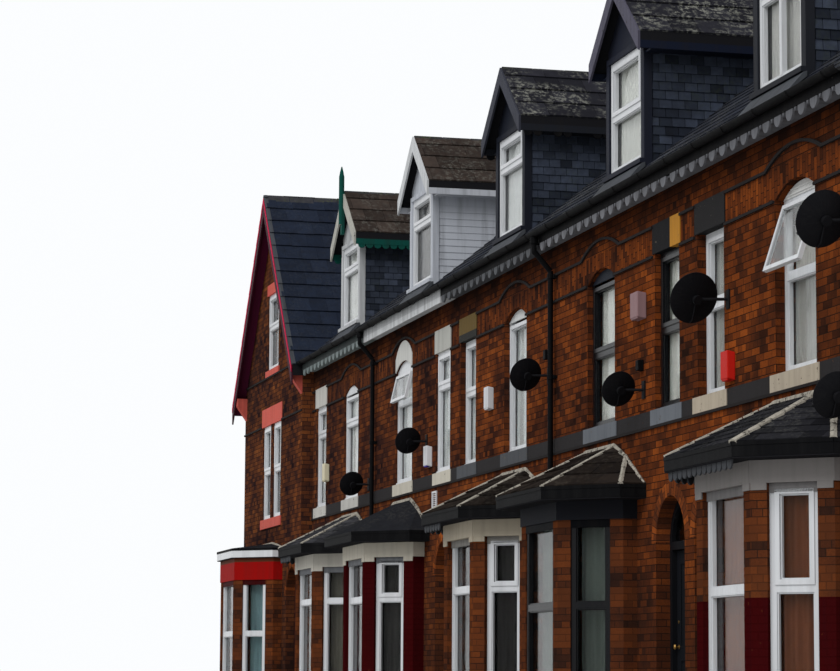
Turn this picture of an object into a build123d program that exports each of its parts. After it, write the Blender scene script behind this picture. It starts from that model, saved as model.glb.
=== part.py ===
from build123d import *
import os
from math import atan2, cos, degrees, hypot, radians, tan
from collections import namedtuple

os.makedirs("parts", exist_ok=True)

# Millimetres. X runs along the row towards its near end, the street front faces -Y, +Z is up.
# The origin is on the ground, under the party wall between the second and third terrace houses
# of five, halfway between front and rear walls.

# Driving sizes of the row
HOUSE_WIDTH = 5000
HOUSE_DEPTH = 8000
TERRACE_NAMES = "bcdef"
HOUSES_FAR_OF_ORIGIN = 2
END_HOUSE_WIDTH = 5600
END_HOUSE_PROJECTION = 200
WALL = 300
PARTY_WALL = 230

# Storey levels above the ground
GROUND_FLOOR = 600
FIRST_FLOOR = 3520
ATTIC_FLOOR = 6280
FLOOR_DEPTH = 220

# Roofs
ROOF_DATUM = 6900          # top of the slates above the face of the front wall
ROOF_PITCH = 39
END_ROOF_PITCH = 50
ROOF_DEPTH = 120           # rafters and slates together, square to the slope
EAVES_OVERHANG = 200
END_EAVES_OVERHANG = 250
VERGE_OVERHANG = 220
VALLEY_LAP = 100
RIDGE_LEG = 190
RIDGE_THICKNESS = 22

# Front doors
DOOR_OPENING = 960
DOOR_SPRINGING = 2720
DOOR_OFFSET = 640          # from the party wall line to the door's centre
END_DOOR_OFFSET = 800
ARCH_RING = 150
DOOR_FRAME_FACE = 70
DOOR_FRAME_DEPTH = 100
DOOR_FRAME_SETBACK = 160
DOOR_HEAD = 90             # transom bar above the leaf
DOOR_LEAF = 45
DOOR_GAP = 8               # clear all round a shut leaf
PANEL_MARGIN = 110         # a leaf's outer stiles, and the one between its panels
PANEL_SINK = 10
LOCK_RAIL = 900            # from the leaf's foot to the middle of its lock rail
RAIL = 130
BOTTOM_RAIL = 260
HINGE_INSET = 250          # from the threshold or the frame's head to a hinge's middle
HINGE_LENGTH = 100
HINGE_KNUCKLE = 30         # each of the two end knuckles, which stay on the jamb
HINGE_BARREL = 8           # radius of the knuckles
HINGE_PIN = 5              # radius
HINGE_SLACK = 0.3          # all round the pin in the leaf's knuckle
HINGE_LIFT = 2             # from a leaf's inner face to the fixed knuckles
HINGE_FLAP = 4
HINGE_REACH = 48
HINGE_CLEAR = 2            # from the hinge line to the fixed flap
HINGE_PLAY = 1             # between knuckles
STEP_RISE = 150
STEP_GOING = 300
STEP_WIDTH = 1080

# First-floor windows
SILL_TOP = 4170
SILL_HEIGHT = 170
SILL_HORN = 110
SILL_PROJECTION = 25
FLAT_OFFSET = 710          # from the party wall line to the flat-headed window's centre
FLAT_WIDTH = 830
FLAT_HEAD = 5900
LINTEL_HEIGHT = 330
LINTEL_HORN = 55
LINTEL_PROJECTION = 12
ARCHED_WIDTH = 1070
ARCHED_SPRINGING = 5880
ARCHED_RISE = 140
ARCHED_CROWN_DROP = 22     # how much less the frame's inner arch rises
FRAME_SETBACKS = {"a": 25, "b": 35, "c": 30, "d": 75, "e": 70, "f": 100}
REAR_SETBACK = 110
FRAME_FACE = 65
FRAME_DEPTH = 70
# From the window head to its transom bar, house by house, then at the rear and in the gable
TRANSOM_DROPS = {"a": 850, "b": 490, "c": 500, "d": 730, "e": 860, "f": 775}
PLAIN_TRANSOM_DROP = 620
TRANSOM_FACE = 80
GLASS = 12
SASH_FACE = 45
SASH_OPEN_ANGLES = {"c": 13, "f": 18}

# Mouldings of the front
MOULDING = 30
MOULDING_PROJECTION = 25
UPPER_STRING = 6190
LOWER_STRING = 5890
HOOD_HALF_WIDTH = 760
HOOD_CROWN = 6380
BAND_PROJECTION = 14

# Canted bays
BAY_OFFSET = 1870
END_BAY_OFFSET = 2600
BAY_PROJECTION = 750
BAY_FRONT_HALF = 750
BAY_HALF = 1340
BAY_RETURN = 160
BAY_WALL = 230
BAY_SILL_TOP = 1200
BAY_SILL_HEIGHT = 75
BAY_SILL_PROJECTION = 35
BAY_HEAD = 3010
BAY_LINTEL_HEIGHT = 210
BAY_LINTEL_PROJECTION = 15
BAY_FRONT_WINDOW = 1140
BAY_SIDE_WINDOW = 500
BAY_TRANSOM_DROPS = {"a": 960, "b": 540, "c": 610, "d": 650, "e": 960, "f": 960}
BAY_FRAME_SETBACKS = {"a": 20, "b": 40, "c": 50, "d": 65, "e": 15, "f": 55}
BAY_EAVES = 150
BAY_FRONT_OVERHANG = 250
BAY_SIDE_OVERHANG = 330
BAY_ROOF_RISE = 520
END_BAY_LINTEL_HEIGHT = 390
END_BAY_FASCIA = 170
END_BAY_OVERHANG = 70
END_BAY_ROOF_RISE = 120
MORTAR = 5

# Dormers
DORMER_HALF = 700
DORMER_SETBACK = 120
DORMER_WALL = 90
DORMER_SILL = 7110
DORMER_WINDOW_HEIGHT = 1340
DORMER_WINDOW_HALF = 590
DORMER_TRANSOM_DROPS = {"b": 420, "c": 420, "d": 420, "e": 670, "f": 420}
DORMER_PEAK_RISE = 900     # from the window head to the peak of the roof
DORMER_PITCH = 41
DORMER_ROOF_HALF = 950
DORMER_ROOF_DEPTH = 80
DORMER_VERGE = 170
DORMER_BARGE_DEPTH = 170
DORMER_FASCIA_DEPTH = 90
BOARD = 28
FINIAL_RADIUS = 45
FINIAL_SHAFT = 250         # straight part of the post above the peak
FINIAL_POINT = 170         # tapered tip on top of it
FINIAL_TIP_RADIUS = 9
FINIAL_DROP = 560

# End house gable
END_PAIR_OFFSET = 490
END_WINDOW_WIDTH = 750
END_LINTEL_HORN = 110
END_ATTIC_WIDTH = 1050
END_ATTIC_SILL = 6920
END_ATTIC_HEAD = 8330
END_ATTIC_SILL_HEIGHT = 110
END_ATTIC_LINTEL_HEIGHT = 200
END_BARGE_DEPTH = 230
KNEELER_WIDTH = 170
KNEELER_HEIGHT = 420
KNEELER_LIP = 140

# Rear windows
REAR_GROUND_SILL = 1500
REAR_GROUND_HEAD = 2900

# Eaves, gutters and rainwater pipes
VALANCE_BOARD = 25
VALANCE_BOTTOM = 6590
VALANCE_TIP = 6480
LOBES_PER_HOUSE = 16
LOBE_SHARE = 0.58          # of each valance bay that its rounded drop takes
TOOTH_HALF = 30            # the small pointed drops between the rounded ones
TOOTH_DROP = 45
PLAIN_FASCIA_BOTTOM = 6500
PLAIN_FASCIA_HOUSE = "c"
SOFFIT = 20
GUTTER_RADIUS = 58
GUTTER_WALL = 6
GUTTER_TOP = 6725
PIPE_RADIUS = 34
PIPE_STANDOFF = 12
PIPE_SHOE = 60
SWAN_NECK_TOP = 6490
SWAN_NECK_BOTTOM = 6250

# Things fixed to the front
DISH_SHELL = 8
DISH_SAG_SHARE = 0.18      # depth of the bowl, as a share of its radius
DISH_RINGS = 6             # straight steps that make up its curve
DISH_CLEARANCE = 50        # from the rim to the wall
DISH_TURN = 80             # how far each dish turns from the street towards the far end
DISH_TILT = 22
DISH_ARM = 16
DISH_ARM_REACH = 90        # how far the wall plate stands to the near side of the bowl
DISH_PLATE = 100
# House, share of its width from its far end, share of the window height above the sill, radius
DISHES = [("b", 0.88, 0.08, 200), ("c", 0.65, 0.295, 200), ("d", 0.924, 0.47, 213),
          ("e", 0.68, 0.15, 205), ("f", 0.234, 0.53, 270), ("f", 0.942, 0.68, 270),
          ("f", 0.964, -0.25, 220)]
ALARM_HEIGHT = 320
ALARM_DEPTH_SHARE = 0.35   # of the box's width
# House, distance from the flat-headed window, share of its height above the sill, width
ALARMS = [("b", 175, 0.32, 240), ("c", 325, 0.16, 240), ("d", 825, 0.46, 240),
          ("e", 445, 0.70, 300), ("f", 205, 0.13, 240)]

# Derived lines of the plan
FRONT = -HOUSE_DEPTH / 2
REAR = HOUSE_DEPTH / 2
END_FRONT = FRONT - END_HOUSE_PROJECTION
TERRACE_FAR = -HOUSES_FAR_OF_ORIGIN * HOUSE_WIDTH
ROW_NEAR = TERRACE_FAR + len(TERRACE_NAMES) * HOUSE_WIDTH
ROW_FAR = TERRACE_FAR - END_HOUSE_WIDTH
END_CENTRE = (ROW_FAR + TERRACE_FAR) / 2
SLOPE = tan(radians(ROOF_PITCH))
END_SLOPE = tan(radians(END_ROOF_PITCH))
RIDGE = ROOF_DATUM + SLOPE * HOUSE_DEPTH / 2
ROOF_DROP = ROOF_DEPTH / cos(radians(ROOF_PITCH))
END_ROOF_DROP = ROOF_DEPTH / cos(radians(END_ROOF_PITCH))
EAVES_FACE = FRONT - EAVES_OVERHANG
HIGH = RIDGE + HOUSE_DEPTH
DORMER_HEAD = DORMER_SILL + DORMER_WINDOW_HEIGHT
DORMER_APEX = DORMER_HEAD + DORMER_PEAK_RISE
DOOR_RADIUS = DOOR_OPENING / 2
HINGE_BACK = HINGE_BARREL + HINGE_LIFT
SILL_BOTTOM = SILL_TOP - SILL_HEIGHT
GUTTER_LINE = EAVES_FACE - VALANCE_BOARD - GUTTER_RADIUS
PIPE_LINE = FRONT - PIPE_STANDOFF - PIPE_RADIUS - MOULDING_PROJECTION

House = namedtuple("House", "name far near front bay door hall flat")


def plan_houses():
    """The end house, then the terrace houses, whose doors and bays stand in mirrored pairs."""
    houses = [House("a", ROW_FAR, TERRACE_FAR, END_FRONT, ROW_FAR + END_BAY_OFFSET,
                    TERRACE_FAR - END_DOOR_OFFSET, 1, None)]
    for i, name in enumerate(TERRACE_NAMES):
        far = TERRACE_FAR + i * HOUSE_WIDTH
        near = far + HOUSE_WIDTH
        if i % 2 == 0:
            houses.append(House(name, far, near, FRONT, near - BAY_OFFSET, far + DOOR_OFFSET,
                                -1, far + FLAT_OFFSET))
        else:
            houses.append(House(name, far, near, FRONT, far + BAY_OFFSET, near - DOOR_OFFSET,
                                1, near - FLAT_OFFSET))
    return houses


HOUSES = plan_houses()
END_HOUSE = HOUSES[0]
TERRACE = HOUSES[1:]


def block(x0, x1, y0, y1, z0, z1):
    """A rectangular solid between two corners."""
    solid = Box(x1 - x0, y1 - y0, z1 - z0, align=(Align.MIN, Align.MIN, Align.MIN))
    return Pos(x0, y0, z0) * solid


def along_x(points, x0, x1):
    """A (y, z) outline carried along the row."""
    face = Plane.YZ.offset(x0) * Polygon(*points, align=None)
    return extrude(face, amount=x1 - x0, dir=(1, 0, 0))


def along_y(sketch, y0, y1):
    """An (x, z) sketch carried from the front towards the rear."""
    return extrude(Plane.XZ.offset(-y0) * sketch, amount=y1 - y0, dir=(0, 1, 0))


def outline(*points):
    """A flat outline through the given points, kept where they lie."""
    return Polygon(*points, align=None)


def rectangle(x0, x1, z0, z1):
    """A flat rectangle between two corners."""
    return outline((x0, z0), (x1, z0), (x1, z1), (x0, z1))


def save(name, *shapes):
    """Write all the solids of the given shapes as one named piece."""
    solids = [solid for shape in shapes for solid in shape.solids()]
    export_step(Compound(children=solids) if len(solids) > 1 else solids[0], f"parts/{name}.step")


def segment_head(centre, springing, half, rise):
    """The piece of a circle that stands above a chord, as in a segmental arch."""
    radius = (half * half + rise * rise) / (2 * rise)
    disc = Pos(centre, springing + rise - radius) * Circle(radius)
    return disc & rectangle(centre - half, centre + half, springing, springing + rise)


def roof_room(front, rear, datum, slope, drop, x0, x1):
    """The space below a roof that spans from the front to the rear, down to the ground."""
    middle = (front + rear) / 2
    peak = datum + slope * (rear - front) / 2 - drop
    foot = datum - drop
    return along_x([(front, 0), (rear, 0), (rear, foot), (middle, peak), (front, foot)], x0, x1)


# Volumes that trim walls and roofs to one another
MAIN_EAVES = ROOF_DATUM - SLOPE * EAVES_OVERHANG
MAIN_OUTER = roof_room(EAVES_FACE, -EAVES_FACE, MAIN_EAVES, SLOPE, 0, END_CENTRE, ROW_NEAR)
MAIN_INNER = roof_room(EAVES_FACE, -EAVES_FACE, MAIN_EAVES, SLOPE, ROOF_DROP,
                       END_CENTRE, ROW_NEAR)


def end_roof_room(drop, y0, y1):
    """The space below the end house's roof, whose ridge runs from front to rear."""
    left = ROW_FAR - END_EAVES_OVERHANG
    right = TERRACE_FAR + VALLEY_LAP
    shape = outline((left, 0), (right, 0), (right, RIDGE - END_SLOPE * (right - END_CENTRE) - drop),
                    (END_CENTRE, RIDGE - drop),
                    (left, RIDGE - END_SLOPE * (END_CENTRE - left) - drop))
    return along_y(shape, y0, y1)


END_ROOF_FRONT = END_FRONT - VERGE_OVERHANG + BOARD
END_ROOF_REAR = REAR + EAVES_OVERHANG
END_OUTER = end_roof_room(0, END_ROOF_FRONT, END_ROOF_REAR)
END_INNER = end_roof_room(END_ROOF_DROP, END_ROOF_FRONT, END_ROOF_REAR)


# Walls
def window_cut(centre, width, front, arched=False, head=FLAT_HEAD):
    """The hole through a front wall for a first-floor window and its stone sill."""
    hole = rectangle(centre - width / 2, centre + width / 2, SILL_TOP, head)
    if arched:
        hole += segment_head(centre, ARCHED_SPRINGING, width / 2, ARCHED_RISE)
    half_sill = width / 2 + SILL_HORN
    hole += rectangle(centre - half_sill, centre + half_sill, SILL_BOTTOM, SILL_TOP)
    return along_y(hole, front, front + WALL)


def lintel_block(centre, half, front, bottom, height):
    """A stone lintel that stands slightly proud of the brick and runs through the wall."""
    return block(centre - half, centre + half, front - LINTEL_PROJECTION, front + WALL,
                 bottom, bottom + height)


def terrace_upper_walls():
    """One house-wide front wall above each ground floor, with its two windows."""
    for house in TERRACE:
        wall = block(house.far, house.near, FRONT, FRONT + WALL, FIRST_FLOOR, HIGH) & MAIN_INNER
        wall -= window_cut(house.bay, ARCHED_WIDTH, FRONT, True, ARCHED_SPRINGING)
        wall -= window_cut(house.flat, FLAT_WIDTH, FRONT)
        wall -= lintel_block(house.flat, FLAT_WIDTH / 2 + LINTEL_HORN, FRONT, FLAT_HEAD,
                             LINTEL_HEIGHT)
        save(f"front_wall_{house.name}", wall)


END_PAIR = [END_CENTRE - END_PAIR_OFFSET, END_CENTRE + END_PAIR_OFFSET]
END_LINTEL_HALF = END_PAIR_OFFSET + END_WINDOW_WIDTH / 2 + END_LINTEL_HORN


def door_arch_cut(house):
    """Room in the wall for a door's arch ring and the half-round hole inside it."""
    disc = Pos(house.door, DOOR_SPRINGING) * Circle(DOOR_RADIUS + ARCH_RING)
    above = rectangle(house.door - HOUSE_WIDTH, house.door + HOUSE_WIDTH, DOOR_SPRINGING, HIGH)
    return along_y(disc & above, house.front, house.front + WALL)


def end_front_wall():
    """The gabled front of the end house, from its door springing to the verge."""
    wall = block(ROW_FAR, TERRACE_FAR, END_FRONT, END_FRONT + WALL, DOOR_SPRINGING, HIGH)
    wall = wall & END_INNER
    wall -= door_arch_cut(END_HOUSE)
    sill_half = END_PAIR_OFFSET + END_WINDOW_WIDTH / 2 + SILL_HORN
    wall -= block(END_CENTRE - sill_half, END_CENTRE + sill_half, END_FRONT, END_FRONT + WALL,
                  SILL_BOTTOM, SILL_TOP)
    for centre in END_PAIR:
        wall -= block(centre - END_WINDOW_WIDTH / 2, centre + END_WINDOW_WIDTH / 2,
                      END_FRONT, END_FRONT + WALL, SILL_TOP, FLAT_HEAD)
    wall -= lintel_block(END_CENTRE, END_LINTEL_HALF, END_FRONT, FLAT_HEAD, LINTEL_HEIGHT)
    attic_half = END_ATTIC_WIDTH / 2
    wall -= block(END_CENTRE - attic_half, END_CENTRE + attic_half, END_FRONT, END_FRONT + WALL,
                  END_ATTIC_SILL, END_ATTIC_HEAD)
    wall -= block(END_CENTRE - attic_half - SILL_HORN, END_CENTRE + attic_half + SILL_HORN,
                  END_FRONT, END_FRONT + WALL, END_ATTIC_SILL - END_ATTIC_SILL_HEIGHT,
                  END_ATTIC_SILL)
    wall -= lintel_block(END_CENTRE, attic_half + LINTEL_HORN, END_FRONT, END_ATTIC_HEAD,
                         END_ATTIC_LINTEL_HEIGHT)
    save("front_wall_a", wall)


def ground_floor_piers():
    """The brick piers between doors and bays, from the ground to the door springing."""
    piers = [block(ROW_FAR, TERRACE_FAR, END_FRONT, END_FRONT + WALL, 0, DOOR_SPRINGING),
             block(TERRACE_FAR, ROW_NEAR, FRONT, FRONT + WALL, 0, DOOR_SPRINGING)]
    walls = piers[0] + piers[1]
    bay_gap = BAY_HALF - BAY_WALL
    for house in HOUSES:
        walls -= block(house.door - DOOR_RADIUS, house.door + DOOR_RADIUS,
                       house.front, house.front + WALL, 0, DOOR_SPRINGING)
        walls -= block(house.bay - bay_gap, house.bay + bay_gap,
                       house.front, house.front + WALL, 0, DOOR_SPRINGING)
    save("front_wall_piers", walls)


def ground_floor_heads():
    """The brickwork over the terrace doors and bays, up to the first floor."""
    heads = block(TERRACE_FAR, ROW_NEAR, FRONT, FRONT + WALL, DOOR_SPRINGING, FIRST_FLOOR)
    for house in TERRACE:
        heads -= door_arch_cut(house)
    save("front_wall_heads", heads)


def door_arches():
    """A half-round ring of cut brick over each front door."""
    rings = []
    for house in HOUSES:
        ring = Pos(house.door, DOOR_SPRINGING) * (Circle(DOOR_RADIUS + ARCH_RING)
                                                 - Circle(DOOR_RADIUS))
        above = rectangle(house.door - HOUSE_WIDTH, house.door + HOUSE_WIDTH,
                          DOOR_SPRINGING, HIGH)
        rings.append(along_y(ring & above, house.front, house.front + WALL))
    save("door_arches", *rings)


def end_and_party_walls():
    """The two outer end walls and the walls between houses, up to the roof."""
    inner_front = FRONT + WALL
    inner_rear = REAR - WALL
    near_wall = block(ROW_NEAR - PARTY_WALL, ROW_NEAR, inner_front, inner_rear, 0, HIGH)
    save("end_wall_near", near_wall & MAIN_INNER)
    far_wall = block(ROW_FAR, ROW_FAR + WALL, END_FRONT + WALL, inner_rear, 0, HIGH)
    save("end_wall_far", far_wall & END_INNER)
    party = []
    for house in TERRACE:
        wall = block(house.far - PARTY_WALL / 2, house.far + PARTY_WALL / 2,
                     inner_front, inner_rear, 0, HIGH)
        party.append(wall & MAIN_INNER)
    save("party_walls", *party)


def rear_openings(house):
    """Centres of a house's rear windows, which line up with those of its front."""
    return END_PAIR if house.flat is None else [house.bay, house.flat]


def rear_walls():
    """The plain rear: two storeys of flat-headed windows, and the end house's rear gable."""
    lower = block(TERRACE_FAR, ROW_NEAR, REAR - WALL, REAR, 0, FIRST_FLOOR)
    upper = block(TERRACE_FAR, ROW_NEAR, REAR - WALL, REAR, FIRST_FLOOR, HIGH) & MAIN_INNER
    end = block(ROW_FAR, TERRACE_FAR, REAR - WALL, REAR, 0, HIGH) & END_INNER
    for house in HOUSES:
        for centre in rear_openings(house):
            half = FLAT_WIDTH / 2
            low = block(centre - half, centre + half, REAR - WALL, REAR,
                        REAR_GROUND_SILL, REAR_GROUND_HEAD)
            high = block(centre - half, centre + half, REAR - WALL, REAR, SILL_TOP, FLAT_HEAD)
            if house is END_HOUSE:
                end -= low + high
            else:
                lower -= low
                upper -= high
    save("rear_wall_lower", lower)
    save("rear_wall_upper", upper)
    save("rear_wall_a", end)


def floors():
    """A floor in every house on each storey, carried by the walls around it."""
    levels = {"ground_floors": GROUND_FLOOR, "first_floors": FIRST_FLOOR,
              "attic_floors": ATTIC_FLOOR}
    for name, top in levels.items():
        slabs = []
        for house in HOUSES:
            far = house.far + (WALL if house is END_HOUSE else PARTY_WALL / 2)
            near = house.near - (PARTY_WALL if house is HOUSES[-1] else PARTY_WALL / 2)
            slabs.append(block(far, near, house.front + WALL, REAR - WALL,
                               top - FLOOR_DEPTH, top))
        save(name, *slabs)


# Roofs
def dormer_room(centre, inset):
    """The space inside a dormer's cheeks and below its roof, drawn back into the main roof."""
    half = DORMER_HALF - inset
    drop = DORMER_ROOF_DEPTH / cos(radians(DORMER_PITCH))
    top = DORMER_APEX - drop
    shoulder = top - tan(radians(DORMER_PITCH)) * half
    shape = outline((centre - half, 0), (centre + half, 0), (centre + half, shoulder),
                    (centre, top), (centre - half, shoulder))
    front = FRONT + DORMER_SETBACK + inset
    return along_y(shape, front, 0)


def dormer_centre(house):
    """Each dormer stands in the middle of its house."""
    return (house.far + house.near) / 2


DORMER_CENTRES = [dormer_centre(house) for house in TERRACE]


def main_roof():
    """Front and rear slopes of the terrace, cut to the end house's roof and to the dormers."""
    shell = MAIN_OUTER - MAIN_INNER - END_OUTER
    front = shell & block(END_CENTRE, ROW_NEAR, EAVES_FACE, 0, 0, HIGH)
    rear = shell & block(END_CENTRE, ROW_NEAR, 0, -EAVES_FACE, 0, HIGH)
    for centre in DORMER_CENTRES:
        front -= dormer_room(centre, DORMER_WALL)
    save("main_roof_front", front)
    save("main_roof_rear", rear)


def end_roof():
    """The two steep slopes of the end house, the right one meeting the terrace in a valley."""
    shell = END_OUTER - END_INNER - MAIN_INNER
    left = shell & block(ROW_FAR - HOUSE_WIDTH, END_CENTRE, END_ROOF_FRONT, END_ROOF_REAR, 0, HIGH)
    right = shell & block(END_CENTRE, ROW_NEAR, END_ROOF_FRONT, END_ROOF_REAR, 0, HIGH)
    save("gable_roof_left", left)
    save("gable_roof_right", right)


def ridge_profile(centre, peak, slope):
    """An angled ridge tile seen end on, sitting over a peak."""
    run = RIDGE_LEG * cos(atan2(slope, 1))
    rise = RIDGE_THICKNESS / cos(atan2(slope, 1))
    return [(centre - run, peak - slope * run), (centre, peak), (centre + run, peak - slope * run),
            (centre + run, peak - slope * run + rise), (centre, peak + rise),
            (centre - run, peak - slope * run + rise)]


def ridges():
    """Lines of angled ridge tiles on every peak."""
    main = along_x(ridge_profile(0, RIDGE, SLOPE), END_CENTRE, ROW_NEAR)
    end = along_y(outline(*ridge_profile(END_CENTRE, RIDGE, END_SLOPE)),
                  END_ROOF_FRONT, END_ROOF_REAR)
    end -= MAIN_OUTER
    tiles = [end, main - END_OUTER - end]
    slope = tan(radians(DORMER_PITCH))
    for centre in DORMER_CENTRES:
        line = along_y(outline(*ridge_profile(centre, DORMER_APEX, slope)),
                       FRONT + DORMER_SETBACK - DORMER_VERGE + BOARD, 0)
        tiles.append(line - MAIN_OUTER)
    save("ridge_tiles", *tiles)


# Dormers
def dormers():
    """Cheeks, front wall, roof, boards and finial of the five gabled dormers."""
    slope = tan(radians(DORMER_PITCH))
    front = FRONT + DORMER_SETBACK
    verge = front - DORMER_VERGE
    drop = DORMER_ROOF_DEPTH / cos(radians(DORMER_PITCH))
    foot = DORMER_APEX - slope * DORMER_ROOF_HALF
    cheeks, fronts, roofs, barges, eaves = [], [], [], [], []
    for centre in DORMER_CENTRES:
        body = dormer_room(centre, 0)
        back = front + DORMER_WALL
        hollow = dormer_room(centre, DORMER_WALL)
        sides = (body - hollow) & block(centre - DORMER_HALF, centre + DORMER_HALF,
                                        back, 0, 0, DORMER_APEX - drop)
        gap = block(centre - DORMER_HALF + DORMER_WALL, centre + DORMER_HALF - DORMER_WALL,
                    back, 0, 0, HIGH)
        cheeks.append(sides - gap - MAIN_OUTER)
        panel = body & block(centre - DORMER_HALF, centre + DORMER_HALF, front, back, 0, HIGH)
        panel -= block(centre - DORMER_WINDOW_HALF, centre + DORMER_WINDOW_HALF, front, back,
                       DORMER_SILL, DORMER_HEAD)
        fronts.append(panel - MAIN_OUTER)
        shape = outline((centre - DORMER_ROOF_HALF, foot), (centre, DORMER_APEX),
                        (centre + DORMER_ROOF_HALF, foot),
                        (centre + DORMER_ROOF_HALF, foot - drop), (centre, DORMER_APEX - drop),
                        (centre - DORMER_ROOF_HALF, foot - drop))
        roofs.append(along_y(shape, verge + BOARD, 0) - MAIN_OUTER)
        depth = DORMER_BARGE_DEPTH / cos(radians(DORMER_PITCH))
        barge = outline((centre - DORMER_ROOF_HALF, foot), (centre, DORMER_APEX),
                        (centre + DORMER_ROOF_HALF, foot),
                        (centre + DORMER_ROOF_HALF, foot - depth),
                        (centre, DORMER_APEX - depth),
                        (centre - DORMER_ROOF_HALF, foot - depth))
        boards = along_y(barge, verge, verge + BOARD)
        if centre == DORMER_CENTRES[0]:
            post = Pos(centre, verge + BOARD - FINIAL_RADIUS, DORMER_APEX - FINIAL_DROP)
            boards += post * Cylinder(FINIAL_RADIUS, FINIAL_DROP + FINIAL_SHAFT,
                                      align=(Align.CENTER, Align.CENTER, Align.MIN))
            tip = Pos(centre, verge + BOARD - FINIAL_RADIUS, DORMER_APEX + FINIAL_SHAFT)
            boards += tip * Cone(FINIAL_RADIUS, FINIAL_TIP_RADIUS, FINIAL_POINT,
                                 align=(Align.CENTER, Align.CENTER, Align.MIN))
        barges.append(boards)
        for side in (-1, 1):
            inner = centre + side * DORMER_HALF
            outer = centre + side * DORMER_ROOF_HALF
            board = block(min(outer, outer - side * BOARD), max(outer, outer - side * BOARD),
                          verge + BOARD, 0, foot - drop - DORMER_FASCIA_DEPTH, foot - drop)
            under = block(min(inner, outer), max(inner, outer), front, 0,
                          foot - drop - DORMER_FASCIA_DEPTH,
                          foot - drop - DORMER_FASCIA_DEPTH + SOFFIT)
            eaves.append((board + under) - MAIN_OUTER)
    save("dormer_cheeks", *cheeks)
    save("dormer_fronts", *fronts)
    save("dormer_roofs", *roofs)
    save("dormer_bargeboards", *barges)
    save("dormer_eaves", *eaves)


# Frames and glass
def framed_window(centre, half, sill, head, transom, face, front, depth, arch=0):
    """A window frame with one transom bar, and the pane behind that bar."""
    outside = rectangle(centre - half, centre + half, sill, head)
    inside = rectangle(centre - half + face, centre + half - face, sill + face, head - face)
    if arch:
        outside += segment_head(centre, head, half, arch)
        inside = rectangle(centre - half + face, centre + half - face, sill + face, head)
        inside += segment_head(centre, head, half - face, arch - ARCHED_CROWN_DROP)
    frame = along_y(outside - inside, front, front + depth)
    bar = block(centre - half + face, centre + half - face, front, front + depth - GLASS,
                transom - TRANSOM_FACE / 2, transom + TRANSOM_FACE / 2)
    pane = along_y(inside, front + depth - GLASS, front + depth)
    return frame + bar, pane


def casement_window(house):
    """An arched window with a boarded head, a fixed lower light and an empty top light."""
    half = ARCHED_WIDTH / 2
    front = FRONT + FRAME_SETBACKS[house.name]
    back = front + FRAME_DEPTH
    inner = half - FRAME_FACE
    transom = FLAT_HEAD - TRANSOM_DROPS[house.name]
    outside = rectangle(house.bay - half, house.bay + half, SILL_TOP, ARCHED_SPRINGING)
    outside += segment_head(house.bay, ARCHED_SPRINGING, half, ARCHED_RISE)
    low = rectangle(house.bay - inner, house.bay + inner, SILL_TOP + FRAME_FACE,
                    transom - TRANSOM_FACE / 2)
    high = rectangle(house.bay - inner, house.bay + inner, transom + TRANSOM_FACE / 2,
                     ARCHED_SPRINGING - FRAME_FACE)
    return along_y(outside - low - high, front, back), along_y(low, back - GLASS, back)


def open_sash(house):
    """The top-hung casement of such a window, pushed outwards, with its pane."""
    width = ARCHED_WIDTH / 2 - FRAME_FACE
    hinge = ARCHED_SPRINGING - FRAME_FACE
    drop = hinge - (FLAT_HEAD - TRANSOM_DROPS[house.name])
    sash = rectangle(-width, width, -drop, 0)
    light = rectangle(-width + SASH_FACE, width - SASH_FACE, -drop + SASH_FACE, -SASH_FACE)
    place = Pos(house.bay, FRONT + FRAME_SETBACKS[house.name], hinge)
    place *= Rot(-SASH_OPEN_ANGLES[house.name], 0, 0)
    frame = place * along_y(sash - light, -SASH_FACE, 0)
    pane = place * along_y(light, -(SASH_FACE + GLASS) / 2, -(SASH_FACE - GLASS) / 2)
    return frame, pane


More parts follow.
